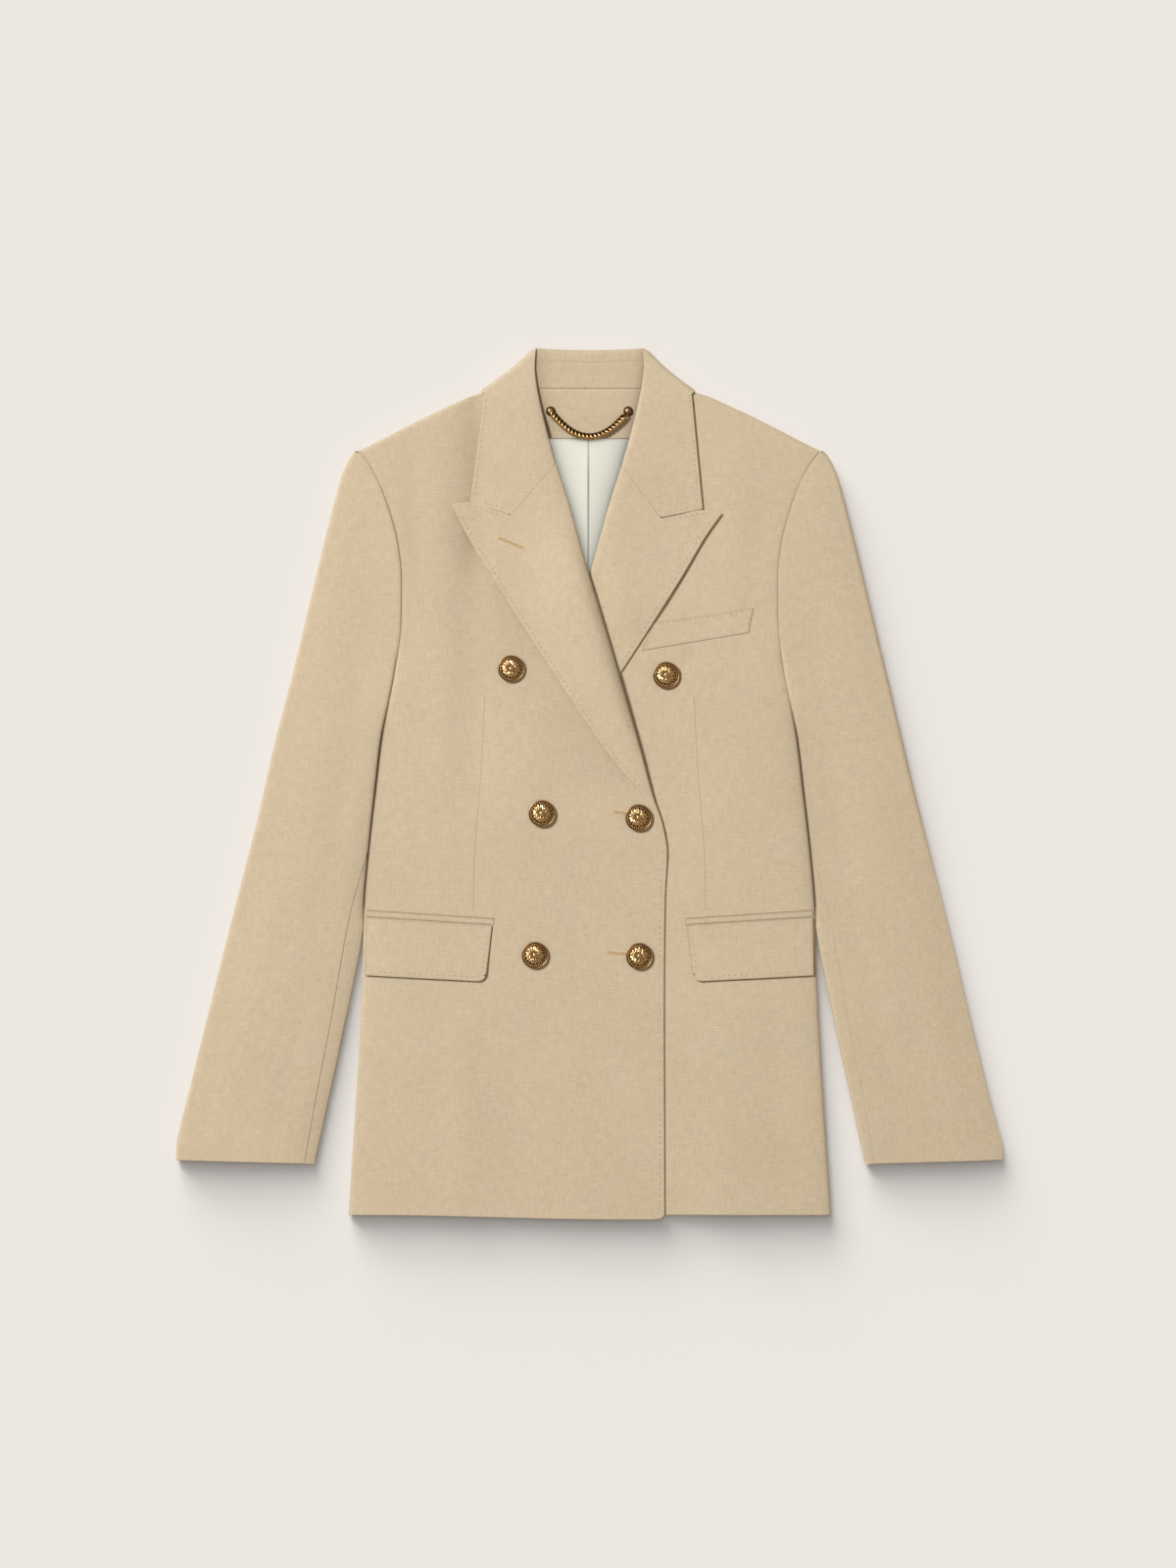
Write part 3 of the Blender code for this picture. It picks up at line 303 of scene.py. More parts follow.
# Soft ridges and troughs of the cloth: where each starts and ends, its half width and height
BODY_FOLDS = (
    (-97.0, 440.0, -99.0, 150.0, 13.0, -3.4),
    (-103.0, 300.0, -102.0, -90.0, 15.0, -1.0),
    (-130.0, 266.0, -18.0, 68.0, 17.0, -2.6),
    (-134.0, 400.0, -128.0, -60.0, 15.0, 1.0),
    (-160.0, 320.0, -150.0, 170.0, 9.0, -0.7),
    (-113.0, -170.0, -113.0, -430.0, 14.0, 1.0),
    (-66.0, -180.0, -62.0, -430.0, 18.0, -0.5),
    (-20.0, -150.0, -8.0, -430.0, 18.0, 0.4),
    (-40.0, 60.0, -74.0, -120.0, 16.0, 0.5),
    (104.0, 126.0, 58.0, 78.0, 7.0, -0.7),
    (120.0, 350.0, 142.0, 90.0, 18.0, 0.6),
    (160.0, 300.0, 128.0, 60.0, 12.0, -0.5),
    (112.0, -170.0, 128.0, -430.0, 22.0, 0.9),
    (162.0, -140.0, 182.0, -430.0, 14.0, -0.5),
    (86.0, -10.0, 96.0, -150.0, 16.0, 0.4),
)
SLEEVE_FOLDS = (
    (205.0, 330.0, 300.0, -380.0, 24.0, 0.8),
    (188.0, 200.0, 246.0, -180.0, 11.0, -0.5),
    (270.0, -40.0, 345.0, -380.0, 12.0, 0.6),
    (240.0, -120.0, 292.0, -380.0, 11.0, -0.5),
)

WEAVE_PITCH = 0.0009
WOOL_COLOUR = (0.655, 0.551, 0.397)
WOOL_COOL = (0.95, 0.965, 0.99)
WOOL_WARM = (0.99, 0.955, 0.91)
# The colour that painted shade darkens the wool towards
WOOL_PAINTED_SHADE = (0.13, 0.08, 0.04)
# Warp, weft, fuzz, patches and mottle: scale along each grain, detail and weight
WOOL_NOISES = (
    (720.0, 90.0, 2.0, 0.24),
    (90.0, 720.0, 2.0, 0.24),
    (700.0, 700.0, 3.0, 0.3),
    (14.0, 14.0, 2.0, 0.1),
    (150.0, 150.0, 1.0, 0.12),
)
SATIN_COLOUR = (0.83, 0.832, 0.74)
# The colour that painted shade darkens the lining towards, a cool grey
SATIN_PAINTED_SHADE = (0.25, 0.28, 0.28)
# Pick-stitch thread, darkened well below the cloth's colour to paint the shade in each stitch's
# dimple
DIMPLE_SHADED_THREAD_COLOUR = (0.38, 0.28, 0.17)
GOLD_THREAD_COLOUR = (0.6, 0.43, 0.22)
SEAM_COLOUR = (0.34, 0.25, 0.15)
DART_COLOUR = (0.41, 0.31, 0.19)
SLIT_COLOUR = (0.32, 0.22, 0.12)
BRASS_BRIGHT = (0.71, 0.47, 0.22)
BRASS_DARK = (0.09, 0.038, 0.01)
FLOOR_COLOUR = (0.843, 0.803, 0.757)
FLOOR_HALF = 20000.0
WORLD_STRENGTH = 0.1
# Low lamps that the floor alone takes: degrees up, round and across, and share of its light
FLOOR_LAMPS = (
    (4.5, 16.0, 8.0, 0.035),
    (4.5, 38.0, 8.0, 0.035),
    (7.0, 5.0, 9.0, 0.045),
    (7.0, 30.0, 9.0, 0.045),
    (10.0, 20.0, 11.0, 0.055),
    (10.0, 45.0, 11.0, 0.055),
    (15.0, 10.0, 13.0, 0.05),
    (15.0, 36.0, 13.0, 0.04),
    (22.0, 26.0, 18.0, 0.12),
    (33.0, 26.0, 22.0, 0.09),
    (65.0, 26.0, 30.0, 0.07),
)
# Broad lamps from above: a plain one for the floor and a warmer one for the cloth
FILL_BREADTH = 130.0
FLOOR_FILL = 0.26
CLOTH_FILL = 0.22
CLOTH_FILL_COLOUR = (1.0, 0.8, 0.56)
LINING_BREADTH = 120.0
LINING_SHARE = 0.75
LINING_TOWARDS = (0.05, 0.25, 1.0)
KEY_PLACE = (-3.6, 2.7, 5.36)  # metres; the lamp that lights the cloth
KEY_SIZE = 1.7
KEY_POWER = 428.0
CAMERA_PLACE = (-0.0013, -0.0004, 3.895)
CAMERA_LENS = 100.0
CAMERA_SENSOR = 36.0


# ---------------------------------------------------------------- numbers and outlines
def ease(low, high, value):
    """0 below low, 1 above high, and a smooth step between."""
    share = min(1.0, max(0.0, (value - low) / (high - low)))
    return share * share * (3.0 - 2.0 * share)


def mix(start, end, share):
    return start + (end - start) * share


def smooth_through(keys, values):
    """A function that passes smoothly through the values and never overshoots them."""
    steps = [b - a for a, b in zip(keys, keys[1:])]
    rises = [(b - a) / step for a, b, step in zip(values, values[1:], steps)]
    slopes = [rises[0]]
    for before, after in zip(rises, rises[1:]):
        same_way = before * after > 0.0
        slopes.append(2.0 * before * after / (before + after) if same_way else 0.0)
    slopes.append(rises[-1])

    def at(key):
        key = min(keys[-1], max(keys[0], key))
        i = max(k for k in range(len(steps)) if keys[k] <= key)
        u = (key - keys[i]) / steps[i]
        first = (1.0 + 2.0 * u) * (1.0 - u) ** 2 * values[i]
        last = u * u * (3.0 - 2.0 * u) * values[i + 1]
        leave = u * (1.0 - u) ** 2 * steps[i] * slopes[i]
        arrive = u * u * (u - 1.0) * steps[i] * slopes[i + 1]
        return first + last + leave + arrive

    return at


def by_level(rows):
    return smooth_through(*zip(*rows))


def along(points):
    """A function from 0..1 to a point on the smooth line through the points."""
    reach = [0.0]
    for a, b in zip(points, points[1:]):
        reach.append(reach[-1] + math.dist(a, b))
    shares = [length / reach[-1] for length in reach]
    out_at, y_at = (smooth_through(shares, values) for values in zip(*points))
    return lambda share: (out_at(share), y_at(share))


def joined(first, second, corner_share):
    """Two lines end to end, with their corner kept sharp at corner_share."""

    def at(share):
        if share <= corner_share:
            return first(share / corner_share)
        return second((share - corner_share) / (1.0 - corner_share))

    return at


def upward(line, foot_y, head_y):
    """The points of a line by level, from a share of its height."""

    def at(up):
        y = mix(foot_y, head_y, up)
        return (line(y), y)

    return at


def between(start, end, share):
    """The point that far along the straight line from start to end."""
    return tuple(mix(a, b, share) for a, b in zip(start, end))


def coons(inner, outer, head, across, up, foot=None):
    """The point of a four-sided patch, from the lines that bound it; its foot may be straight."""
    low = between(inner(0.0), outer(0.0), across)
    high = between(inner(1.0), outer(1.0), across)
    sides = between(inner(up), outer(up), across)
    ends = between(foot(across) if foot else low, head(across), up)
    return tuple(side + end - flat for side, end, flat in zip(sides, ends, between(low, high, up)))


body_side = by_level(BODY_SIDE)
front_edge = by_level(FRONT_EDGE)
front_under_collar = by_level(FRONT_UNDER_COLLAR)
sleeve_outer = by_level(SLEEVE_OUTER)
sleeve_clear = by_level(SLEEVE_INNER)
sleeve_bend = {side: by_level(rows) for side, rows in SLEEVE_BEND.items()}
forearm_seam = by_level(FOREARM_SEAM)
stand_end = along(STAND_END)
lapel_side = by_level([(y, out) for out, y in REVERS["right"].outer_edge[::-1]] + [*COLLAR_SIDE])


def seam_share(y):
    """0 where a side is folded, and 1 where it is sewn to the sleeve."""
    return ease(UNDERARM_Y, 130.0, y)


def sleeve_inner(y):
    """How far out the sleeve's inner edge is: beside the body, or clear of it low down."""
    gap = mix(SIDE_GAP * (1.0 - ease(20.0, 84.0, y)), SEAM_GAP, seam_share(y)) + 0.05
    return max(body_side(y) + gap, sleeve_clear(y) if y < SLEEVE_INNER[-1][0] else 0.0)


def back_seam(y):
    """How far out the back meets the side panel, and above it the armhole."""
    return body_side(y) - SIDE_PANEL_WIDTH * (1.0 - ease(60.0, ARMHOLE_BACK_Y, y))


def front_inner(y):
    """A front's own inner edge: it stops short where the lapel rolls over it."""
    if y > FRONT_UNDER_COLLAR[0][0]:
        return front_edge(y) + front_under_collar(y)
    return front_edge(y) + LAPEL_TUCK * ease(-30.0, -14.0, y)


# ---------------------------------------------------------------- heights of the layers
def edge_share(distance, reach, steep):
    """0 clear of an edge and 1 at it, on an arc that turns down by steep degrees."""
    if distance >= reach:
        return 0.0
    limit = math.radians(steep)
    turned = math.asin(min(1.0, (1.0 - max(0.0, distance) / reach) * math.sin(limit)))
    return (1.0 - math.cos(turned)) / (1.0 - math.cos(limit))


def shoulder_bulge(out):
    """How far the shoulder line curves up over a straight one."""
    return SHOULDER_BULGE * ease(88.0, 112.0, out) * (1.0 - ease(140.0, 205.0, out))


def shoulder_distance(out, y):
    """How far a point lies inside the shoulder line."""
    run = NECK_POINT[0] - SHOULDER_TIP[0]
    rise = NECK_POINT[1] - SHOULDER_TIP[1]
    level = y - shoulder_bulge(out) - SHOULDER_TIP[1]
    return (run * level - rise * (out - SHOULDER_TIP[0])) / math.hypot(run, rise)


def collar_back_edge(out):
    """Level of the collar's free edge under the back."""
    return COLLAR_TOP_Y - COLLAR_BACK_DEPTH + 11.0 * (out / 95.0) ** 2


def neck_lift(x, y):
    """How far the back is raised by the collar that lies under it."""
    out = abs(x)
    reach = ease(collar_back_edge(out) - 24.0, collar_back_edge(out) - 3.0, y)
    return NECK_LIFT * reach * (1.0 - ease(112.0, 150.0, out))


def right_top(x, y):
    """The right front's top face, raised by the hidden lapel, less so at its free edge."""
    hidden = ease(-74.0, -4.0, x - front_edge(y))
    hidden *= ease(-90.0, -20.0, y) * (1.0 - ease(194.0, 265.0, y))
    from_edge = max(0.0, -x - front_edge(y))
    return FRONT_TOP + LAPEL_RISE * hidden * (1.0 - EDGE_REST * math.exp(-from_edge / 9.0))


def left_top(x, y):
    level = (1.0 - ease(60.0, 150.0, x)) * (1.0 - ease(215.0, 285.0, y))
    return FRONT_TOP - OVERLAP_DIP * level


def layer_top(side, x, y):
    return right_top(x, y) if side == "right" else left_top(x, y)


def edge_shares(out, y):
    """How far round a front or back has turned down, at its side and at its shoulder."""
    steep = mix(FOLD_STEEP, SEAM_STEEP, seam_share(y))
    at_side = edge_share(body_side(y) - out, FOLD_REACH, steep)
    return at_side, edge_share(shoulder_distance(out, y), FOLD_REACH, FOLD_STEEP)


def front_height(side, out, y):
    """Height of a front's top face, rounded down at its side and shoulder."""
    x = SIGN[side] * out
    top = layer_top(side, x, y) + fold_relief(BODY_FOLDS, x, y)
    top -= SIDE_DROP * math.exp((out - body_side(y)) / SIDE_REACH) * (1.0 - seam_share(y))
    fold_drop = top - FOLD_HIGH
    side_drop = mix(fold_drop, SEAM_DROP, seam_share(y))
    at_side, at_shoulder = edge_shares(out, y)
    shoulder_drop = fold_drop - 0.2 * neck_lift(out, y)
    return top - max(side_drop * at_side, shoulder_drop * at_shoulder)


def back_height(out, y):
    """Height of the outer face of the back and side panels, which faces down."""
    base = neck_lift(out, y)
    fold_rise = FOLD_LOW - base
    side_rise = mix(fold_rise, UNDER_SEAM_RISE, seam_share(y))
    at_side, at_shoulder = edge_shares(out, y)
    return base + max(side_rise * at_side, fold_rise * at_shoulder)


def sleeve_level(side, out, y, outer):
    """Height of the sleeve's top face before it turns down at its folds."""
    from_inner = out - sleeve_inner(y)
    inner_fall, outer_fall = SLEEVE_FALL[side]
    low = 1.0 - ease(-110.0, 20.0, y)
    clear = ease(4.0, 16.0, min(from_inner, outer - out))
    top = FRONT_TOP + fold_relief(SLEEVE_FOLDS, out, y) * clear
    top -= inner_fall * low * math.exp(-from_inner / SLEEVE_FALL_REACH)
    return top - outer_fall * mix(0.4, 1.0, low) * math.exp((out - outer) / SLEEVE_FALL_REACH)


def sleeve_height(side, out, y, outer):
    """Height of the sleeve's top face, rounded at its outer fold and inner edge."""
    inner = sleeve_inner(y)
    top = sleeve_level(side, out, y, outer)
    inner_drop = mix(top - FOLD_HIGH, SEAM_DROP, seam_share(y))
    steep = mix(FOLD_STEEP, SEAM_STEEP, seam_share(y))
    at_inner = edge_share(out - inner, FOLD_REACH, steep)
    at_outer = edge_share(outer - out, min(FOLD_REACH, 0.45 * (outer - inner)), FOLD_STEEP)
    return top - max(inner_drop * at_inner, (top - FOLD_HIGH) * at_outer)


def on_front(side, out, y, lift):
    """The point at this place on a front, moved out from its top face by lift."""
    step = 0.2
    z = front_height(side, out, y)
    slope_out = (z - front_height(side, out - step, y)) / step
    slope_y = (z - front_height(side, out, y - step)) / step
    place = Vector((out, y, z)) + Vector((-slope_out, -slope_y, 1.0)).normalized() * lift
    return (SIGN[side] * place.x, place.y, place.z)


# ---------------------------------------------------------------- relief of the cloth
def rolled_edge(distance):
    """How far the face has sunk at this distance from a turned edge."""
    if distance >= ROLL_REACH:
        return 0.0
    share = 1.0 - max(0.0, distance) / ROLL_REACH
    return ROLL_DROP * (1.0 - math.sqrt(max(0.0, 1.0 - share * share)))


def fold_relief(folds, x, y):
    """The sum of the soft ridges and troughs at a place."""
    total = 0.0
    for start_x, start_y, end_x, end_y, width, height in folds:
        run_x = end_x - start_x
        run_y = end_y - start_y
        length = math.hypot(run_x, run_y)
        share = ((x - start_x) * run_x + (y - start_y) * run_y) / (length * length)
        if 0.0 < share < 1.0:
            aside = ((x - start_x) * run_y - (y - start_y) * run_x) / length / width
            if abs(aside) < 3.0:
                taper = ease(0.0, 0.3, share) * (1.0 - ease(0.7, 1.0, share))
                total += height * math.exp(-aside * aside) * taper
    return total


def belly(side, out, y):
    """How far a lapel or collar stands off the front: most beside its roll line."""
    from_roll = max(0.0, out - front_edge(y))
    flat_from = mix(14.0, 68.0, ease(-16.0, 120.0, y))
    edge_lift = EDGE_LIFT * ease(*EDGE_LIFT_LEVELS[side], y)
    rise = 1.0 - math.exp(-from_roll / BELLY_REACH[side])
    rise *= mix(1.0, edge_lift, ease(2.0, flat_from, from_roll))
    rise *= ease(-20.0, 100.0, y) * (1.0 - ease(335.0, 378.0, y))
    if side == "left":
        rise *= ease(0.0, 30.0, out + front_edge(y))
    return BELLY[side] * rise * mix(1.0, BELLY_UP[side], ease(160.0, 260.0, y))


# ---------------------------------------------------------------- painted shade on the cloth
def contact_painted_shade(side, away, y):
    """Painted shade in the fold between body and sleeve, and a fine line of it in the armhole seam.
    """
    away = max(0.0, away)
    contact = ease(-128.0, -104.0, y) * (1.0 - ease(40.0, 86.0, y))
    contact *= 0.95 * math.exp(-away / 0.9) + 0.12 * math.exp(-away / 7.0)
    sewn = ease(100.0, 150.0, y) * (1.0 - 0.75 * ease(235.0, 285.0, y)) * math.exp(-away / 0.6)
    return SEAM_PAINTED_SHADE[side] * sewn + contact


def painted_shade_beside_lapel(out, y):
    """Painted shadow beside the right lapel's and the collar's edge, and a broad faint painted
    shade over the right front beside them.
    """
    beyond = max(0.0, out - lapel_side(y))
    painted_shade = 0.08 * math.exp(-beyond / 9.0) + 0.055 * math.exp(-((beyond / 75.0) ** 2))
    return painted_shade * ease(-34.0, 20.0, y) * (1.0 - ease(300.0, 350.0, y))


# Painted shade on a sleeve: in the fold by the body, in the armhole seam, and along its inner edge
# low down.
def sleeve_painted_shade(side):
    def at(x, y):
        from_inner = abs(x) - sleeve_inner(y)
        low = SLEEVE_PAINTED_SHADE[side] * (1.0 - ease(-120.0, -10.0, y))
        return contact_painted_shade(side, from_inner, y) + low * math.exp(-from_inner / 14.0)

    return at


def neck_painted_shade(x, y):
    """Painted shade on the collar stand and facing: faint all over, and deeper beside the roll."""
    return 0.03 + 0.5 * math.exp(-max(0.0, front_edge(y) + 1.0 - abs(x)) / 6.5)


def lining_painted_shade(x, y):
    """Painted shade on the lining: beside the roll, low in the V, and in the crease of its pleat.
    """
    from_roll = max(0.0, front_edge(y) - abs(x))
    roll = 0.6 * math.exp(-from_roll / 9.0) if x < 0.0 else 0.72 * math.exp(-from_roll / 14.0)
    low = 0.26 * (1.0 - ease(190.0, 275.0, y))
    crease = math.exp(-(((x - PLEAT_X) / 0.85) ** 2)) * (1.0 - 0.4 * ease(270.0, 300.0, y))
    return max(roll, low, crease)


# ---------------------------------------------------------------- making pieces
def spread(count):
    return [k / (count - 1) for k in range(count)]


def dense(levels, step):
    """The levels, with more between them wherever two are further apart than step."""
    filled = [levels[0]]
    for low, high in zip(levels, levels[1:]):
        parts = max(1, math.ceil(abs(high - low) / step))
        filled += [mix(low, high, k / parts) for k in range(1, parts + 1)]
    return filled


def spaced(width, near, far, count):
    """Distances across a width: close together at both edges and even between them."""
    squeeze = min(1.0, 0.8 * width / (near[-1] + far[-1]))
    low = [distance * squeeze for distance in near]
    high = [width - distance * squeeze for distance in far[::-1]]
    return low + [mix(low[-1], high[0], k / count) for k in range(1, count)] + high


def arc_steps(reach, count=7):
    """Distances from a folded edge at even turns of its arc, from 0 out to reach."""
    return [reach * (1.0 - math.sin(math.radians(90.0 * k / count))) for k in range(count, -1, -1)]


FOLD_STEPS = arc_steps(FOLD_REACH)


def mesh_of(name, vertices, faces, uvs=None):
    mesh = bpy.data.meshes.new(name)
    mesh.from_pydata([(x * MM, y * MM, z * MM) for x, y, z in vertices], [], faces)
    if uvs:
        layer = mesh.uv_layers.new(name="cloth")
        corners = [0] * len(mesh.loops)
        mesh.loops.foreach_get("vertex_index", corners)
        layer.data.foreach_set("uv", [value for vertex in corners for value in uvs[vertex]])
    mesh.shade_smooth()
    return mesh


def add_object(name, data):
    made = bpy.data.objects.new(name, data)
    bpy.context.scene.collection.objects.link(made)
    return made


def add_piece(name, mesh, material, solids=()):
    piece = add_object(name, mesh)
    mesh.materials.append(material)
    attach(piece, "root")
    if solids:
        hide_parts(*solids)
    return piece


def cloth(
    solid, rows, wall, flip=False, keep=None, grain=0.0,
    material=None, row_walls=None, painted_shade=None,
):  # fmt: skip
    """A panel in place of its solid: an open grid on the face that shows, given its wall.

    keep(i, j) leaves out parts of the grid, grain turns the weave, row_walls thins whole rows, and
    tone(x, y) is how much painted shade darkens the cloth at a place.
    """
    width = len(rows[0])
    faces = []
    for i in range(len(rows) - 1):
        for j in range(width - 1):
            if keep is None or keep(i, j):
                corner = i * width + j
                face = (corner, corner + 1, corner + width + 1, corner + width)
                faces.append(face[::-1] if flip else face)
    used = sorted({vertex for face in faces for vertex in face})
    place = {vertex: index for index, vertex in enumerate(used)}
    vertices = [rows[vertex // width][vertex % width] for vertex in used]
    turn_x, turn_y = math.cos(math.radians(grain)) * MM, math.sin(math.radians(grain)) * MM
    uvs = [(x * turn_x + y * turn_y, y * turn_x - x * turn_y) for x, y, _ in vertices]
    name = solid + "_cloth"
    mesh = mesh_of(name, vertices, [[place[v] for v in face] for face in faces], uvs)
    mesh.set_sharp_from_angle(angle=math.radians(55.0))
    # Painted shade: how far each point of the cloth is darkened towards its shade colour
    if painted_shade:
        layer = mesh.attributes.new("painted_shade", "FLOAT", "POINT")
        layer.data.foreach_set("value", [painted_shade(x, y) for x, y, _ in vertices])
    piece = add_piece(name, mesh, material or WOOL, [solid])
    solidify = piece.modifiers.new("wall", "SOLIDIFY")
    solidify.thickness = wall * MM
    solidify.offset = -1.0
    if row_walls:
        group = piece.vertex_groups.new(name="wall")
        for index, vertex in enumerate(used):
            group.add([index], row_walls[vertex // width], "REPLACE")
        solidify.vertex_group = group.name
    return piece


# ---------------------------------------------------------------- fronts, sides and back
def meeting_edge(points, drop, y):
    """Ends a row upright where it meets a fold, or sloping on into an armhole seam."""
    x, level, z = points[-1]
    before = points[-2]
    seam = seam_share(y)
    held = (mix(x, before[0], 0.4 * seam), level, mix(z, before[2], 0.4 * seam))
    return points[:-1] + [held, (x, level, z - drop * (1.0 - seam))]


def body_levels(step):
    hem = [HEM_Y + distance for distance in EDGE_STEPS]
    levels = dense(hem + [*HEM_ROWS[1:], *WAIST_ROWS, *ARMHOLE_ROWS], step)
    shares = [(y - HEM_Y) / (SHOULDER_TIP[1] - HEM_Y) for y in levels]
    return shares + [1.0 - distance / SHOULDER_DEPTH for distance in FOLD_STEPS[::-1]]


def hem_shift(out, y, distance):
    """The right front's hem dips towards its free edge and has a rounded corner there."""
    dip = FRONT_HEM_DIP * ease(-195.0, 30.0, -out) * (1.0 - ease(HEM_Y, HEM_Y + 60.0, y))
    near_edge = max(0.0, 1.0 - distance / HEM_CORNER)
    near_hem = max(0.0, 1.0 - (y - HEM_Y) / HEM_CORNER)
    return HEM_CORNER * (1.0 - math.sqrt(1.0 - near_edge**2)) * near_hem - dip


def bulged(line):
    """A straight shoulder line, curved up on its way from the neck to the tip."""

    def at(across):
        out, y = line(across)
        return (out, y + shoulder_bulge(out))

    return at


def front_panel(side):
    inner = upward(front_inner, HEM_Y, NECK_POINT[1])
    outer = upward(body_side, HEM_Y, SHOULDER_TIP[1])
    head = bulged(lambda across: between(NECK_POINT, SHOULDER_TIP, across))
    rows = []
    for up in body_levels(6.0):
        width = outer(up)[0] - inner(up)[0]
        row = []
        for distance in spaced(width, EDGE_STEPS, FOLD_STEPS, 38):
            out, y = coons(inner, outer, head, distance / width, up)
            z = front_height(side, out, y) - rolled_edge(distance) - rolled_edge(y - HEM_Y)
            if side == "right":
                y += hem_shift(out, y, distance)
            row.append((SIGN[side] * out, y, z))
        rows.append(meeting_edge(row, FOLD_STRAIGHT, outer(up)[1]))
    rows.append([(x, y, z - FOLD_STRAIGHT) for x, y, z in rows[-1]])

    # Painted shade on the front: in the fold by the sleeve, in the armhole seam, and beside the
    # right lapel
    def painted_shade(x, y):
        contact = contact_painted_shade(side, body_side(y) - abs(x), y)
        return contact + (painted_shade_beside_lapel(-x, y) if side == "right" else 0.0)

    flip = side == "right"
    cloth("front_" + side, rows, CLOTH_WALL, flip, painted_shade=painted_shade)


def side_panel(side):
    rows = []
    for y in dense([*HEM_ROWS, *WAIST_ROWS, *ARMHOLE_ROWS[:2], ARMHOLE_BACK_Y - 4.0], 10.0):
        start = back_seam(y) + GAP / 2.0
        end = body_side(y)
        reach = min(FOLD_REACH, (end - start) * 0.6)
        outs = [mix(start, end - reach, share) for share in spread(5)[:-1]]
        outs += [end - distance * reach / FOLD_REACH for distance in FOLD_STEPS[::-1]]
        row = [(SIGN[side] * out, y, back_height(out, y)) for out in outs]
        rows.append(meeting_edge(row, -FOLD_STRAIGHT, y))
    cloth("side_panel_" + side, rows, CLOTH_WALL, side == "left")


def back_outer(y):
    return back_seam(y) - GAP / 2.0 * (1.0 - ease(120.0, ARMHOLE_BACK_Y, y))


def back_panel(side):
    inner = upward(lambda y: GAP / 2.0, HEM_Y, NECKLINE_Y)
    outer = upward(back_outer, HEM_Y, SHOULDER_TIP[1])
    neckline = along(((GAP / 2.0, NECKLINE_Y), (46.0, NECKLINE_Y + 2.0), NECK_POINT))
    head = bulged(joined(neckline, along((NECK_POINT, SHOULDER_TIP)), 0.4))
    rows = []
    for up in body_levels(10.0):
        row = []
        for across in dense((0.0, 0.16, 0.32, 0.4, 0.6, 0.8, 1.0), 0.045):
            out, y = coons(inner, outer, head, across, up)
            row.append((SIGN[side] * out, y, back_height(out, y)))
        rows.append(row)
    lip = []
    for x, y, z in rows[-1]:
        lip.append((x, y, z + FOLD_STRAIGHT * ease(0.0, 1.0, z - neck_lift(x, y))))
    cloth("back_" + side, rows + [lip], CLOTH_WALL, side == "left")


# ---------------------------------------------------------------- sleeves
def cuff_row_y(out, y):
    """Rows near the cuff follow its slight slope."""
    slope = mix(CUFF_INNER_Y, CUFF_OUTER_Y, (out - 246.0) / 123.0) - CUFF_INNER_Y
    return y + slope * (1.0 - ease(CUFF_INNER_Y, CUFF_INNER_Y + 90.0, y))


def sleeve_levels():
    cuff = [CUFF_INNER_Y + distance for distance in EDGE_STEPS]
    return dense(cuff + [*SLEEVE_ROWS, *WAIST_ROWS, *ARMHOLE_ROWS, *CROWN_ROWS], 6.0)


def outer_edge(side, y):
    """The sleeve's outer edge on this row, whose cuff end is higher than its inner end."""
    edge = sleeve_outer(mix(CUFF_OUTER_Y, y, ease(CUFF_INNER_Y, CUFF_INNER_Y + 30.0, y)))
    return edge + sleeve_bend[side](y)


def sleeve_cloth(name, side, rows, keep=None):
    grain = -SIGN[side] * SLEEVE_SLOPE
    cloth(name + side, rows, CLOTH_WALL, side == "right", keep, grain, painted_shade=sleeve_painted_shade(side))


def sleeve_top(side):
    rows = []
    for y in sleeve_levels():
        inner = sleeve_inner(y)
        outer = outer_edge(side, y)
        reach = min(FOLD_REACH, (outer - inner) * 0.45)
        arc = [distance * reach / FOLD_REACH for distance in FOLD_STEPS]
        seam = forearm_seam(y) + FOREARM_GAP[side] / 2.0 if forearm_seam(y) > 0.0 else 0.0
        outs = [inner + max(distance, seam + 0.5 * k) for k, distance in enumerate(arc)]
        outs += [mix(outs[-1], outer - reach, share) for share in spread(20)[1:-1]]
        outs += [outer - distance for distance in arc[::-1]]
        row = []
        for out in outs:
            z = sleeve_height(side, out, y, outer) - rolled_edge(y - CUFF_INNER_Y)
            row.append((SIGN[side] * out, cuff_row_y(out, y), z))
        row = meeting_edge(row, FOLD_STRAIGHT, UNDERARM_Y)
        rows.append(inner_edge(row, y, 1.0 - ease(0.0, 1.0, seam)))
    sleeve_cloth("sleeve_top_", side, rows)


def inner_edge(row, y, at_fold):
    """The same upright end for a row's first point, only where it lies on the fold."""
    upright = meeting_edge(row[::-1], FOLD_STRAIGHT, y)[::-1]
    first = between(row[0], upright[0], at_fold)
    second = between(between(row[0], row[1], 0.3), upright[1], at_fold)
    return [first, second] + row[1:]


def fold_section(turn):
    """Distance in from a fold and height, from the underside (-1) round to the top (1)."""
    if turn > 1.0:
        return (FOLD_REACH * turn, FRONT_TOP)
    angle = math.radians(90.0 * turn)
    return (FOLD_REACH * (1.0 - math.cos(angle)), FOLD_MEETS * (1.0 + math.sin(angle)))


def forearm_turn(side, y):
    """How far round the inner fold the undersleeve reaches, as a turn of the section."""
    turn = forearm_seam(y) / FOLD_REACH
    if turn < 1.0:
        turn = math.degrees(math.acos(1.0 - turn)) / 90.0
    return turn - FOREARM_GAP[side] / FOLD_REACH


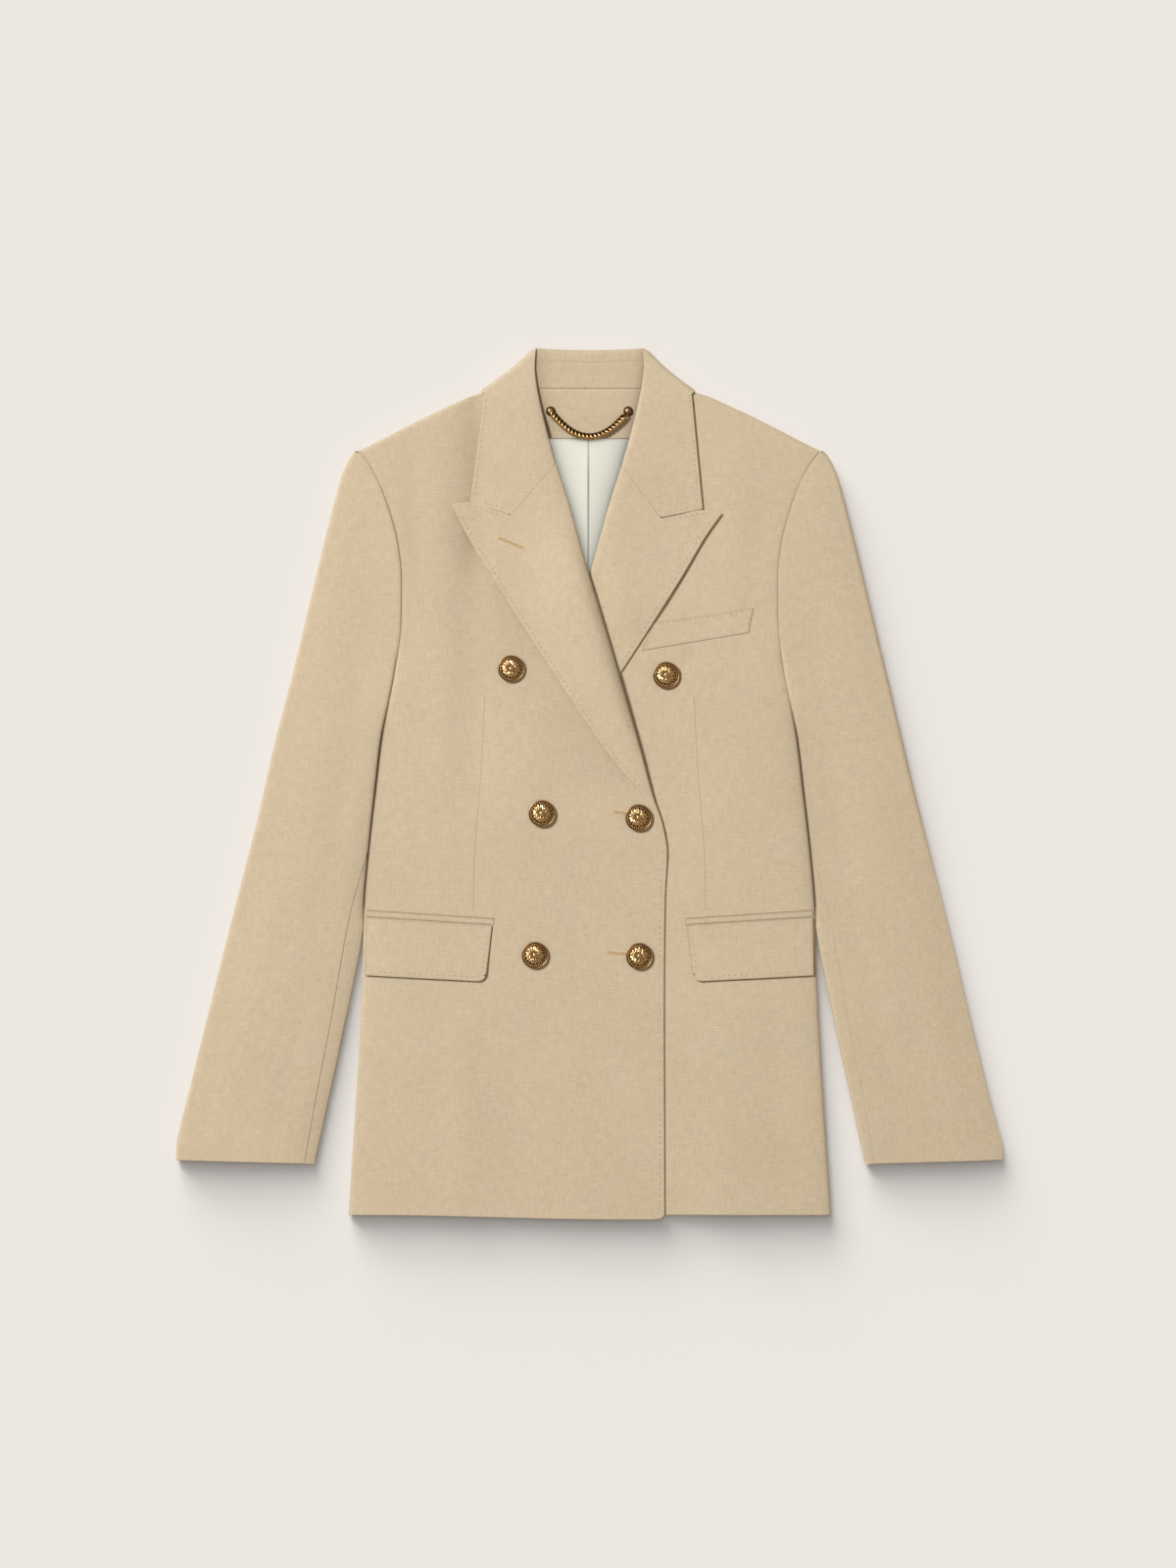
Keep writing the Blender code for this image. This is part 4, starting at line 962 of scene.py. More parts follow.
def sleeve_wrap(side, y, columns):
    """Distances in and heights round the inner fold, from the underside to the seam."""
    end = forearm_turn(side, y)
    section = [fold_section(mix(-1.0, end, k / (columns - 1.0))) for k in range(columns - 2)]
    last = fold_section(end) if end > 0.0 else (0.0, FOLD_LOW + FOLD_STRAIGHT)
    below = (last[0], last[1] - FOLD_STRAIGHT)
    before = between(fold_section(end - 0.05), below, 1.0 - ease(0.0, 0.3, end))
    return section + [before, last]


def sleeve_under(side):
    wrap_columns = 18
    levels = sleeve_levels()
    rows = []
    for y in levels:
        inner = sleeve_inner(y)
        outer = outer_edge(side, y)
        reach = min(FOLD_REACH, (outer - inner) * 0.4)
        folded = y <= UNDERARM_Y
        row = [(outer, FOLD_LOW + FOLD_STRAIGHT)]
        for distance in FOLD_STEPS:
            height = FOLD_LOW * edge_share(distance, FOLD_REACH, FOLD_STEEP)
            row.append((outer - distance * reach / FOLD_REACH, height))
        last = inner + (FOLD_REACH if folded else 0.0)
        row += [(mix(outer - reach, last, share), 0.0) for share in spread(12)[1:-1]]
        for distance, height in sleeve_wrap(side, y, wrap_columns):
            tall = sleeve_level(side, inner + distance, y, outer) - FOLD_MEETS
            above = max(0.0, height - FOLD_MEETS) * tall / (FRONT_TOP - FOLD_MEETS)
            height = min(height, FOLD_MEETS) + above
            row.append((inner + distance, height) if folded else (inner, 0.0))
        rows.append([(SIGN[side] * out, cuff_row_y(out, y), z) for out, z in row])
    underarm_row = max(i for i, y in enumerate(levels) if y <= UNDERARM_Y)
    wrap_start = len(rows[0]) - wrap_columns

    def keep(i, j):
        return i < underarm_row or j < wrap_start

    sleeve_cloth("sleeve_under_", side, rows, keep)


# ---------------------------------------------------------------- lapels and collar
def lapel_top(side, x, y):
    """Top face of a lapel or collar, which bridges the troughs of the front under it."""
    relief = fold_relief(BODY_FOLDS, x, y)
    bridged = max(relief, 0.25 * relief)
    lift = LAPEL_GAP + TURNED_WALL + belly(side, SIGN[side] * x, y)
    return layer_top(side, x, y) + bridged + lift


def foot_share(up):
    """0 at a lapel's foot, where it grows out of the front's edge, and 1 further up."""
    return ease(0.0, 0.13, up)


def past_notch(across):
    """0 along the sewn gorge and 1 beyond the notch, where lapel and collar part."""
    return ease(NOTCH_SHARE - 0.03, NOTCH_SHARE + 0.03, across)


def notch_roll(side, distance, across):
    """How far the lapel's head or the collar's end is rolled down beside the notch."""
    return rolled_edge(distance) * mix(0.25, NOTCH_ROLL[side], past_notch(across))


def lapel_surface(side):
    """Where a lapel's top face is at a share across from its roll, and up from its foot."""
    revers = REVERS[side]
    edge = along((revers.top_edge[-1], *revers.outer_edge))
    gorge = along((revers.gorge_top, revers.notch))
    head_line = joined(gorge, along((revers.notch, *revers.top_edge)), NOTCH_SHARE)
    inner = upward(front_edge, LAPEL_FOOT_Y, revers.gorge_top[1] - GORGE_GAP)

    def outer(up):
        return edge(1.0 - up)

    def head(across):
        out, y = head_line(across)
        return (out, y - mix(GORGE_GAP, NOTCH_GAP[side], past_notch(across)))

    def width(up):
        return math.dist(inner(up), outer(up))

    def at(across, up):
        out, y = coons(inner, outer, head, across, up)
        grown = foot_share(up)
        drop = (LAPEL_GAP + TURNED_WALL - 0.05) * (1.0 - grown)
        lift = LAPEL_GAP + TURNED_WALL - drop
        drop += (lift + GAP) * edge_share(out - front_edge(y), LAPEL_ROLL_REACH, FOLD_STEEP)
        drop += rolled_edge((1.0 - across) * width(up)) * grown
        drop += notch_roll(side, (1.0 - up) * LAPEL_LENGTH, across)
        x = SIGN[side] * out
        return (x, y, lapel_top(side, x, y) - drop)

    return at, width


def lapel(side):
    at, width = lapel_surface(side)
    near = arc_steps(LAPEL_ROLL_REACH, 6)
    ups = [0.0] + [1.0 - distance / LAPEL_LENGTH for distance in EDGE_STEPS[::-1]]
    ups = dense(ups, 4.0 / LAPEL_LENGTH)
    rows = []
    for up in ups:
        wide = width(up)
        rows.append([at(distance / wide, up) for distance in spaced(wide, near, EDGE_STEPS, 26)])
    walls = [mix(0.1, 1.0, foot_share(up)) for up in ups]
    grain = SIGN[side] * LAPEL_SLOPE
    flip = side == "right"
    cloth("lapel_" + side, rows, TURNED_WALL, flip, grain=grain, row_walls=walls)


def top_sag(x):
    """How far the collar's crease hangs below a straight line behind the neck."""
    return TOP_SAG * math.cos(math.pi * min(1.0, abs(x) / 47.0) / 2.0)


def collar_surface(side):
    """Where the collar's outer face is, at a share across from its roll or crease.

    The station runs 0 to 1 up the front, 1 to 2 over the shoulder and 2 to 3 behind.
    """
    revers = REVERS[side]
    run, rise = (end - corner for end, corner in zip(revers.collar_shoulder, COLLAR_CORNER))
    outward = (-rise / math.hypot(run, rise), run / math.hypot(run, rise))
    creased, insets, rises = zip(*CREASE_SECTION)
    crease_rise = smooth_through(creased, rises)
    crease_inset = smooth_through(creased, insets)

    def moved(point, distance, straight_up=0.0):
        """The point moved away from the shoulder edge, or straight up at the crease."""
        ahead = between(outward, (0.0, 0.8), straight_up)
        return (point[0] + ahead[0] * distance, point[1] + ahead[1] * distance)

    fold_inner = moved(COLLAR_CORNER, -COLLAR_FOLD_REACH)
    fold_outer = moved(revers.collar_shoulder, -COLLAR_FOLD_REACH)
    gorge = along((revers.gorge_top, revers.notch))
    end_line = joined(gorge, along((revers.notch, revers.collar_corner)), NOTCH_SHARE)

    def roll(up):
        y = mix(revers.gorge_top[1], fold_inner[1], up)
        return (mix(front_edge(y), fold_inner[0], ease(0.8, 1.0, up)), y)

    def free_edge(up):
        return between(revers.collar_corner, fold_outer, up)

    def fold_line(across):
        sag = COLLAR_SAG * 4.0 * across * (1.0 - across) + COLLAR_EAR * across**6
        return moved(between(fold_inner, fold_outer, across), -sag)

    def on_front_part(across, up):
        out, y = coons(roll, free_edge, fold_line, across, up, end_line)
        x = SIGN[side] * out
        over_stand = COLLAR_CREASE_TOP + LAPEL_GAP + TURNED_WALL
        top = mix(lapel_top(side, x, y), over_stand, ease(340.0, 385.0, y))
        drop = COLLAR_ROLL_DROP * (1.0 - ease(350.0, 384.0, y))
        drop *= edge_share(math.dist((out, y), roll(up)), COLLAR_ROLL_REACH, 70.0)
        drop += rolled_edge((1.0 - across) * math.dist(roll(up), free_edge(up)))
        return (x, y, top - drop - notch_roll(side, up * COLLAR_LENGTH, across))

    def at(across, station):
        if station <= 1.0:
            return on_front_part(across, station)
        start = fold_line(across)
        low = crease_rise(across)
        if station <= 2.0:
            turn = math.pi * (station - 1.0)
            straight_up = 1.0 - ease(0.0, 0.09, across)
            out, y = moved(start, COLLAR_FOLD_REACH * math.sin(turn), straight_up)
            top = on_front_part(across, 1.0)[2]
            return (SIGN[side] * out, y, mix(top, low, (1.0 - math.cos(turn)) / 2.0))
        share = station - 2.0
        out = start[0] * (1.0 - share)
        past_crease = max(0.0, across - creased[-1]) / (1.0 - creased[-1])
        crease = COLLAR_TOP_Y - top_sag(out) - crease_inset(across)
        straight = mix(crease, collar_back_edge(out), past_crease)
        y = mix(start[1], straight, ease(0.0, 0.3 + 0.3 * past_crease, share))
        return (SIGN[side] * out, y, low)

    return at


def collar_fall():
    near = (0.0, 0.006, 0.012, 0.02, 0.035, 0.055, 0.08)
    columns = dense(near + (0.95, 0.975, 0.986, 0.993, 0.997, 1.0), 0.05)
    stations = dense([distance / COLLAR_LENGTH for distance in EDGE_STEPS] + [1.0], 0.035)
    stations += dense([1.0, 2.0], 0.08)[1:] + dense([2.0, 3.0], 0.07)[1:]
    right = collar_surface("right")
    left = collar_surface("left")
    rows = [[right(across, station) for across in columns] for station in stations]
    rows += [[left(across, station) for across in columns] for station in stations[-2::-1]]
    cloth("collar_fall", rows, TURNED_WALL, True, grain=90.0)


def stand_surface(x_share, y):
    """The stand's top face at a share across and a level, with its stitched seam's groove."""
    foot_y = NECKLINE_Y + GAP
    up = (y - foot_y) / (COLLAR_TOP_Y - foot_y)
    half = stand_end(up)[0]
    x = mix(-half, half, x_share)
    foot_top = NECK_LIFT + CLOTH_WALL + GAP + TURNED_WALL
    z = mix(foot_top, COLLAR_CREASE_TOP, ease(NECKLINE_Y, COLLAR_TOP_Y - CREASE_REACH, y))
    z -= CREASE_LOW * edge_share(COLLAR_TOP_Y - y, CREASE_REACH, FOLD_STEEP)
    z -= STAND_SEAM_DEPTH * math.exp(-(((y - STAND_SEAM_Y) / 0.8) ** 2))
    z -= 0.4 * rolled_edge(y - foot_y)
    return (x, y - (0.9 + TOP_SAG) * up * math.cos(math.pi * x / (2.0 * half)), z)


def collar_stand():
    foot = [NECKLINE_Y + GAP + distance for distance in EDGE_STEPS]
    seam = [STAND_SEAM_Y + offset for offset in (-2.0, -1.0, -0.5, 0.0, 0.5, 1.0, 2.0)]
    levels = dense(foot + seam, 3.0)
    levels += [COLLAR_TOP_Y - distance * CREASE_REACH / FOLD_REACH for distance in FOLD_STEPS[::-1]]
    rows = [[stand_surface(share, y) for share in spread(30)] for y in levels]
    rows.append([(x, y, z - FOLD_STRAIGHT) for x, y, z in rows[-1]])
    cloth("collar_stand", rows, TURNED_WALL, painted_shade=neck_painted_shade)


# ---------------------------------------------------------------- inside the neck
def facing_top(x, y):
    """Top face of the neck facing, which lies on the back."""
    return neck_lift(x, y) + CLOTH_WALL + 2.0 * GAP + TRIM_WALL


def neck_facing():
    rows = []
    levels = [FACING_HEM_Y + distance for distance in EDGE_STEPS]
    for y in dense(levels + [NECKLINE_Y + GAP / 2.0], 3.0):
        half = front_edge(y) + mix(4.0, 6.0, ease(FACING_HEM_Y, NECKLINE_Y, y))
        drop = 0.5 * rolled_edge(y - FACING_HEM_Y)
        xs = [mix(-half, half, share) for share in spread(30)]
        rows.append([(x, y, facing_top(x, y) - drop) for x in xs])
    cloth("neck_facing", rows, TRIM_WALL, painted_shade=neck_painted_shade)


def lining_height(x, y):
    """The lining's top face, with a pleat laid to one side along the centre back."""
    pleat = 0.8 * (1.0 - ease(0.0, 7.0, x - PLEAT_X)) * ease(-0.5, 0.0, x - PLEAT_X)
    ripple = 0.25 * math.sin(x / 6.5) * (1.0 - ease(285.0, 305.0, y))
    flat = CLOTH_WALL + GAP + TRIM_WALL
    return flat + pleat * (1.0 - ease(300.0, 308.0, y)) + max(0.0, ripple)


def body_lining():
    pleat = [PLEAT_X + offset for offset in (-1.5, -0.6, -0.5, -0.25, 0.0, 0.5, 1.5, 3.0, 5.0, 7.0)]
    rows = []
    for y in dense([LINING_FOOT_Y, FACING_HEM_Y - GAP], 4.0):
        half = max(front_edge(y), 0.0) + 5.0
        xs = [mix(-half, pleat[0], k / 16.0) for k in range(16)]
        xs += [min(x, half - 0.2 * (len(pleat) - k)) for k, x in enumerate(pleat)]
        xs += [mix(xs[-1], half, k / 16.0) for k in range(1, 17)]
        rows.append([(x, y, lining_height(x, y)) for x in xs])
    return cloth("body_lining", rows, TRIM_WALL, material=SATIN, painted_shade=lining_painted_shade)


# ---------------------------------------------------------------- pockets
def strip_surface(side, pocket, wall, corner=0.0, lifted=0.0, gap=GAP):
    """The top face of a strip that lies on a front, its lower edge standing off by lifted."""
    width = math.dist(pocket.inner_top, pocket.outer_top)
    height = math.dist(pocket.inner_top, pocket.inner_foot)

    def at(across, up):
        foot = between(pocket.inner_foot, pocket.outer_foot, across)
        head = between(pocket.inner_top, pocket.outer_top, across)
        out, y = between(foot, head, up)
        if corner:
            near_side = max(0.0, 1.0 - across * width / corner)
            near_foot = max(0.0, 1.0 - up * height / corner)
            y += corner * (1.0 - math.sqrt(1.0 - near_side**2)) * near_foot
        inside = min(across * width, (1.0 - across) * width, up * height, (1.0 - up) * height)
        lift = gap + wall + lifted * (1.0 - ease(0.0, 0.8, up))
        return on_front(side, out, y, lift - min(0.7, 0.5 * wall) * rolled_edge(inside))

    return at, width, height


def flap_surface(side):
    return strip_surface(side, FLAP, TURNED_WALL, FLAP_CORNER_REACH, FLAP_LIFT)


def strip(solid, side, surface, wall):
    at, width, height = surface
    edge = [distance for distance in EDGE_STEPS if distance < height / 3.0]
    outs = spaced(width, EDGE_STEPS, EDGE_STEPS, 30)
    rows = []
    # Painted shade along the strip's edges, kept by place for its mesh
    edge_painted_shades = {}
    for up in spaced(height, edge, edge, max(3, round(height / 3.0))):
        rows.append([at(out / width, up / height) for out in outs])
        for out, (x, y, _) in zip(outs, rows[-1]):
            from_edge = max(0.0, min(out, width - out, up, height - up))
            edge_painted_shades[x, y] = STRIP_PAINTED_SHADE * math.exp(-from_edge / 0.6)

    def painted_shade(x, y):
        return edge_painted_shades[x, y]

    cloth(solid, rows, wall, side == "right", painted_shade=painted_shade)


def pockets():
    for side in SIGN:
        strip("pocket_flap_" + side, side, flap_surface(side), TURNED_WALL)
        jet = strip_surface(side, JET, SEWN_WALL, gap=SEWN_GAP)
        strip("pocket_jet_" + side, side, jet, SEWN_WALL)
    welt = strip_surface("left", WELT, SEWN_WALL, gap=SEWN_GAP)
    strip("breast_welt", "left", welt, SEWN_WALL)


# ---------------------------------------------------------------- sewing
def walked(path, step):
    """Points evenly spaced along a path, which gives a point for a share from 0 to 1."""
    fine = [Vector(path(share)) for share in spread(240)]
    points = [fine[0]]
    left = step
    for a, b in zip(fine, fine[1:]):
        gap = (b - a).length
        start = 0.0
        while gap - start >= left:
            start += left
            points.append(a.lerp(b, start / gap))
            left = step
        left -= gap - start
    return points


def stretch(at, start, end):
    """The path on a surface that runs straight from one pair of shares to another."""
    return lambda share: at(*between(start, end, share))


def turns(count):
    return [2.0 * math.pi * k / count for k in range(count)]


def beside(ahead):
    """The directions to the side of ahead, and above it."""
    aside = ahead.cross(Vector((0.0, 0.0, 1.0))).normalized()
    return aside, aside.cross(ahead)


def ring_at(centre, aside, above, radius, sides=6):
    return [centre + (aside * math.cos(t) + above * math.sin(t)) * radius for t in turns(sides)]


def ring_faces(rings, sides, flip=False, closed=False):
    """Faces that join each ring of points to the next, and the last to the first if closed."""
    faces = []
    for ring in range(rings if closed else rings - 1):
        here = ring * sides
        there = (ring + 1) % rings * sides
        for k in range(sides):
            after = (k + 1) % sides
            low, high = (here + after, there + k) if not flip else (there + k, here + after)
            faces.append((here + k, low, there + after, high))
    return faces


def domed_faces(rings, sides):
    """Faces of a round body from its middle out and under to its foot, closed below."""
    return ring_faces(rings, sides, flip=True) + [range((rings - 1) * sides, rings * sides)]


def tube(rings):
    """Rings of points joined into a tube with capped ends, as vertices and faces."""
    sides = len(rings[0])
    first = list(range(sides))
    last = [k + (len(rings) - 1) * sides for k in first]
    return sum(rings, []), [first[::-1], *ring_faces(len(rings), sides), last]


def gathered(parts):
    """The vertices and faces of several parts as one."""
    vertices = []
    faces = []
    for more, more_faces in parts:
        faces += [[v + len(vertices) for v in face] for face in more_faces]
        vertices += more
    return vertices, faces


def sew_on(name, parts, material, carrier):
    WITH[carrier].append(add_piece(name, mesh_of(name, *gathered(parts)), material))


def stitches(path, pitch, length, radius, sink):
    """Small stitches laid along a path, each a short tube that narrows at both ends."""
    parts = []
    points = walked(path, pitch)
    for before, place, after in zip(points, points[1:], points[2:]):
        ahead = (after - before).normalized()
        aside, above = beside(ahead)
        rings = []
        for reach, share in STITCH_PROFILE:
            middle = place + ahead * reach * length / 2.0 - above * sink
            rings.append(ring_at(middle, aside, above * STITCH_FLATNESS, radius * share))
        parts.append(tube(rings))
    return parts


def pick_stitches(name, paths, carrier):
    parts = []
    for path in paths:
        parts += stitches(path, STITCH_PITCH, STITCH_LENGTH, STITCH_RADIUS, STITCH_SINK)
    # The thread is darkened to paint the shade in each stitch's dimple
    sew_on(name, parts, DIMPLE_SHADED_THREAD, carrier)


def ridge(name, paths, radius, material, carrier, purl=0.0, sink=0.0):
    """A thread, or the line of a seam: a thin tube along each path. purl gives it loops."""
    parts = []
    for path in paths:
        points = walked(path, 0.3 if purl else 1.5)
        rings = []
        for i, place in enumerate(points):
            ahead = points[min(i + 1, len(points) - 1)] - points[max(i - 1, 0)]
            aside, above = beside(ahead.normalized())
            size = radius * (1.0 - purl * (i % 2))
            rings.append(ring_at(place - above * sink, aside, above, size))
        parts.append(tube(rings))
    sew_on(name, parts, material, carrier)


def pick_stitching():
    """Rows of pick stitches, a little inside each turned edge, in thread darkened to paint the
    shade in their dimples.
    """
    free_end = (NOTCH_SHARE + 0.04, 0.93)  # the lapel's head and the collar's end past the notch
    for side in SIGN:
        at, width = lapel_surface(side)
        top_up = 1.0 - STITCH_INSET / LAPEL_LENGTH

        def edge(share):
            up = mix(LAPEL_STITCHES_FROM[side], top_up - 0.004, share)
            return at(1.0 - STITCH_INSET / width(up), up)

        top = stretch(at, (free_end[0], top_up), (free_end[1], top_up))
        pick_stitches("lapel_stitches_" + side, [edge, top], "lapel_" + side)
    paths = []
    inset = STITCH_INSET / COLLAR_LENGTH
    for side in SIGN:
        collar = collar_surface(side)
        paths.append(stretch(collar, (0.945, inset), (0.945, 1.15)))
        paths.append(stretch(collar, (free_end[0], inset), (free_end[1], inset)))
    pick_stitches("collar_stitches", paths, "collar_fall")

    def front(share):
        y = mix(HEM_Y + 6.0, -52.0, share)
        out = front_inner(y) + STITCH_INSET
        return (-out, y + hem_shift(out, y, STITCH_INSET), front_height("right", out, y))

    pick_stitches("front_stitches", [front], "front_right")
    for side in SIGN:
        at, width, height = flap_surface(side)
        aside, up = STITCH_INSET / width, STITCH_INSET / height
        paths = [stretch(at, (7.0 / width, up), (1.0 - aside, up))]
        paths.append(stretch(at, (aside, 8.0 / height), (aside, 0.97)))
        pick_stitches("flap_stitches_" + side, paths, "pocket_flap_" + side)
    at, width, height = strip_surface("left", WELT, SEWN_WALL, gap=SEWN_GAP)
    aside, up = 1.0 - 1.6 / width, 1.0 - 2.6 / height
    paths = [stretch(at, (0.03, up), (0.97, up)), stretch(at, (aside, 0.12), (aside, 0.94))]
    pick_stitches("welt_stitches", paths, "breast_welt")


def on_face(side, line, above=0.0):
    """The path on a front's top face under a flat line, moved up the garment by above."""

    def at(share):
        out, y = line(share)
        return (SIGN[side] * out, y + above, front_height(side, out, y))

    return at


def seam_lines():
    """Darts, the jets' upper seams and the stand's stitched seams."""
    jet_top = along((JET.inner_top, JET.outer_top))
    for side in SIGN:
        dart = on_face(side, along(DART))
        ridge("dart_" + side, [dart], DART_RADIUS, DART_SHADE, "front_" + side, sink=0.14)
        upper = on_face(side, jet_top, 0.15)
        ridge("jet_seam_" + side, [upper], 0.42, SEAM_SHADE, "pocket_jet_" + side, sink=0.05)
    for name, y in (("stand_seam", STAND_SEAM_Y), ("neck_seam", NECKLINE_Y + 1.2)):
        seam = stretch(stand_surface, (0.01, y), (0.99, y))
        sew_on(name + "_stitches", stitches(seam, *SEAM_STITCH), SEAM_SHADE, "collar_stand")


def buttonholes():
    for hole in BUTTONHOLES:
        start = Vector((hole.start_x, hole.start_y))
        run = Vector((hole.end_x, hole.end_y)) - start
        aside = Vector((-run.y, run.x)).normalized()

        def on_cloth(place):
            x, y = place
            on_lapel = hole.on == "lapel_right"
            return (x, y, lapel_top("right", x, y) if on_lapel else front_height("right", -x, y))

        def lip(offset):
            return lambda share: on_cloth(start + run * share + aside * offset)

        def bar(share):
            return on_cloth(start + run * (1.0 - hole.eyelet) + aside * mix(-1.4, 1.4, share))

        def eye(share):
            turn = 2.0 * math.pi * share
            outward = Vector((math.cos(turn), math.sin(turn)))
            return on_cloth(start + run * hole.eyelet + outward * 1.5)

        lines = [lip(-0.95), lip(0.95), bar, eye]
        ridge(hole.name, lines, 0.78, GOLD_THREAD, hole.on, purl=0.2, sink=0.45)
        ridge(hole.name + "_slit", [lip(0.0)], 0.2, SLIT_SHADE, hole.on)


# ---------------------------------------------------------------- metal
def off_middle(turn, count, offset=0.0):
    """0 in the middle of one of count even parts of a turn, and 1 between two of them."""
    return abs((turn * count / (2.0 * math.pi) + offset) % 1.0 - 0.5) * 2.0


def half_round(distance):
    """The height of a half circle: 1 in its middle, and 0 at a distance of 1 and beyond."""
    return math.sqrt(max(0.0, 1.0 - distance * distance))


def rosette_relief(radius, turn):
    """Height added to a button's dome: a boss, beads, three rings of petals and a rope."""
    if radius < 1.7:
        return 0.2 + 0.5 * half_round(radius / 1.7)
    if radius < 2.9:
        return 0.42 * half_round(off_middle(turn, 12)) * half_round((radius - 2.3) / 0.55)
    relief = 0.0
    for petals, start, end, tall, offset in PETAL_RINGS:
        if start < radius < end:
            reach = (radius - start) / (end - start)
            aside = off_middle(turn, petals, offset)
            tip = math.sin(math.pi * min(1.0, 0.3 + 0.7 * reach))
            half = tip**0.6 if reach > 0.3 else 0.5 + 0.45 * reach
            if aside < half:
                swell = (0.35 + 0.65 * half_round(aside / half)) * (0.55 + 0.45 * reach)
                vein = 0.3 * math.exp(-((aside / 0.12) ** 2))
                relief = max(relief, tall * (swell - vein))
    if 9.0 < radius < 10.4:
        strand = 0.5 + 0.5 * math.cos(turn * 34.0 + (radius - 9.7) * 2.6)
        relief = 0.5 * strand**0.7 * half_round((radius - 9.7) / 0.7)
    return relief


def brass_piece(name, vertices, faces, patina_and_painted_shade, solid):
    """A metal piece in place of a solid. age is how dark each point is, from 0 to 1: patina in the
    buttons' relief, painted shade on the chain and studs.
    """
    mesh = mesh_of(name, vertices, faces)
    mesh.attributes.new("patina_and_shade", "FLOAT", "POINT").data.foreach_set("value", patina_and_painted_shade)
    add_piece(name, mesh, BRASS, [solid])


def button(seat, spin):
    """A domed button on its shank, with a rosette inside a roped rim."""
    place = on_front(seat.side, seat.out, seat.y, 0.0)
    top = place[2]
    for turn in turns(4):
        out = seat.out + SHANK_RADIUS * math.cos(turn)
        top = max(top, front_height(seat.side, out, seat.y + SHANK_RADIUS * math.sin(turn)))
    lean_x, lean_y = RANDOM.uniform(-0.02, 0.02), RANDOM.uniform(-0.03, 0.01)
    dome = smooth_through(*zip(*BUTTON_DOME[:BUTTON_FACE]))
    rings = [(radius, None) for radius in BUTTON_RADII] + [*BUTTON_DOME[BUTTON_FACE:]]
    vertices = []
    patina_and_painted_shade = []
    for radius, fixed in rings:
        for turn in turns(BUTTON_SIDES):
            relief = rosette_relief(radius, turn + spin) if fixed is None else 0.0
            height = relief + (dome(radius) if fixed is None else fixed)
            x, y = radius * math.cos(turn), radius * math.sin(turn)
            leaning = lean_x * x + lean_y * y
            vertices.append((place[0] + x, place[1] + y, top + height + leaning))
            sunk = 1.0 - min(1.0, relief / BRIGHT_RELIEF)
            upper = AGE_RIM if radius > BUTTON_RIM else sunk
            patina_and_painted_shade.append(upper if fixed is None else AGE_UNDER)
    faces = domed_faces(len(rings), BUTTON_SIDES)
    brass_piece(seat.name + "_metal", vertices, faces, patina_and_painted_shade, seat.name)


def chain_link(centre, ahead):
    """One chain link: a wire ring, long along ahead and turned about it."""
    aside, above = beside(ahead)
    flat = aside * math.cos(LINK_TILT) + above * math.sin(LINK_TILT)
    rings = []
    for turn in turns(20):
        forward, sideways = ahead * math.cos(turn), flat * math.sin(turn)
        outward = (forward * LINK_HALF_WIDTH + sideways * LINK_HALF_LENGTH).normalized()
        spine = centre + forward * LINK_HALF_LENGTH + sideways * LINK_HALF_WIDTH
        rings.append(ring_at(spine, outward, ahead.cross(flat), LINK_WIRE, 8))
    return sum(rings, []), ring_faces(20, 8, closed=True)


def hanger():
    """The curb chain between its two studs."""

    def hanging(share):
        x = mix(-STUD_OUT, STUD_OUT, share)
        y = STUD_Y - CHAIN_SAG * (1.0 - (x / STUD_OUT) ** 2) - 0.4
        return (x, y, facing_top(x, y + 1.5) + CHAIN_LIFT)

    points = walked(hanging, LINK_PITCH)
    links = []
    for before, place, after in zip(points, points[1:], points[2:]):
        ahead = (after - before).normalized()
        leaning = (ahead + beside(ahead)[0] * LINK_LEAN).normalized()
        links.append(chain_link(place, leaning))
    vertices, faces = gathered(links)
    # Painted shade: the chain's brass darkens the lower its wire lies towards the facing, under and
    # between the links
    patina_and_painted_shade = [1.0 - 0.8 * ease(1.8, 4.0, z - facing_top(x, y)) for x, y, z in vertices]
    brass_piece("hanger_chain_links", vertices, faces, patina_and_painted_shade, "hanger_chain")
    dome = [math.radians(degrees) for degrees in range(0, 91, 9)]
    profile = [(STUD_RADIUS * math.sin(t), 0.7 + 2.6 * math.cos(t)) for t in dome]
    profile += STUD_RIM
    across, up = Vector((1.0, 0.0, 0.0)), Vector((0.0, 1.0, 0.0))
    for side in SIGN:
        x = SIGN[side] * STUD_OUT
        base = facing_top(x, STUD_Y + STUD_RADIUS) + 0.1
        rings = []
        for radius, height in profile:
            middle = Vector((x, STUD_Y, base + height))
            rings.append(ring_at(middle, across, up, radius, STUD_SIDES))
        vertices = sum(rings, [])
        faces = domed_faces(len(rings), STUD_SIDES)
        # The studs' brass is darker overall, and painted shade darkens it further down the dome
        # towards the facing
        patina_and_painted_shade = [1.0 - 0.35 * ease(0.6, 3.2, vertex.z - base) for vertex in vertices]
        brass_piece("chain_stud_dome_" + side, vertices, faces, patina_and_painted_shade, "chain_stud_" + side)


# ---------------------------------------------------------------- materials
def fill(tree, made, settings):
    """Sets a node's inputs and properties, and links those that are given another's output."""
    for key, value in settings.items():
        if key not in made.inputs:
            setattr(made, key, value)
        elif isinstance(value, bpy.types.NodeSocket):
            tree.links.new(value, made.inputs[key])
        else:
            made.inputs[key].default_value = value


def node(tree, kind, **settings):
    made = tree.nodes.new(kind)
    fill(tree, made, settings)
    return made


def new_material(name):
    material = bpy.data.materials.new(name)
    material.use_nodes = True
    return material, material.node_tree


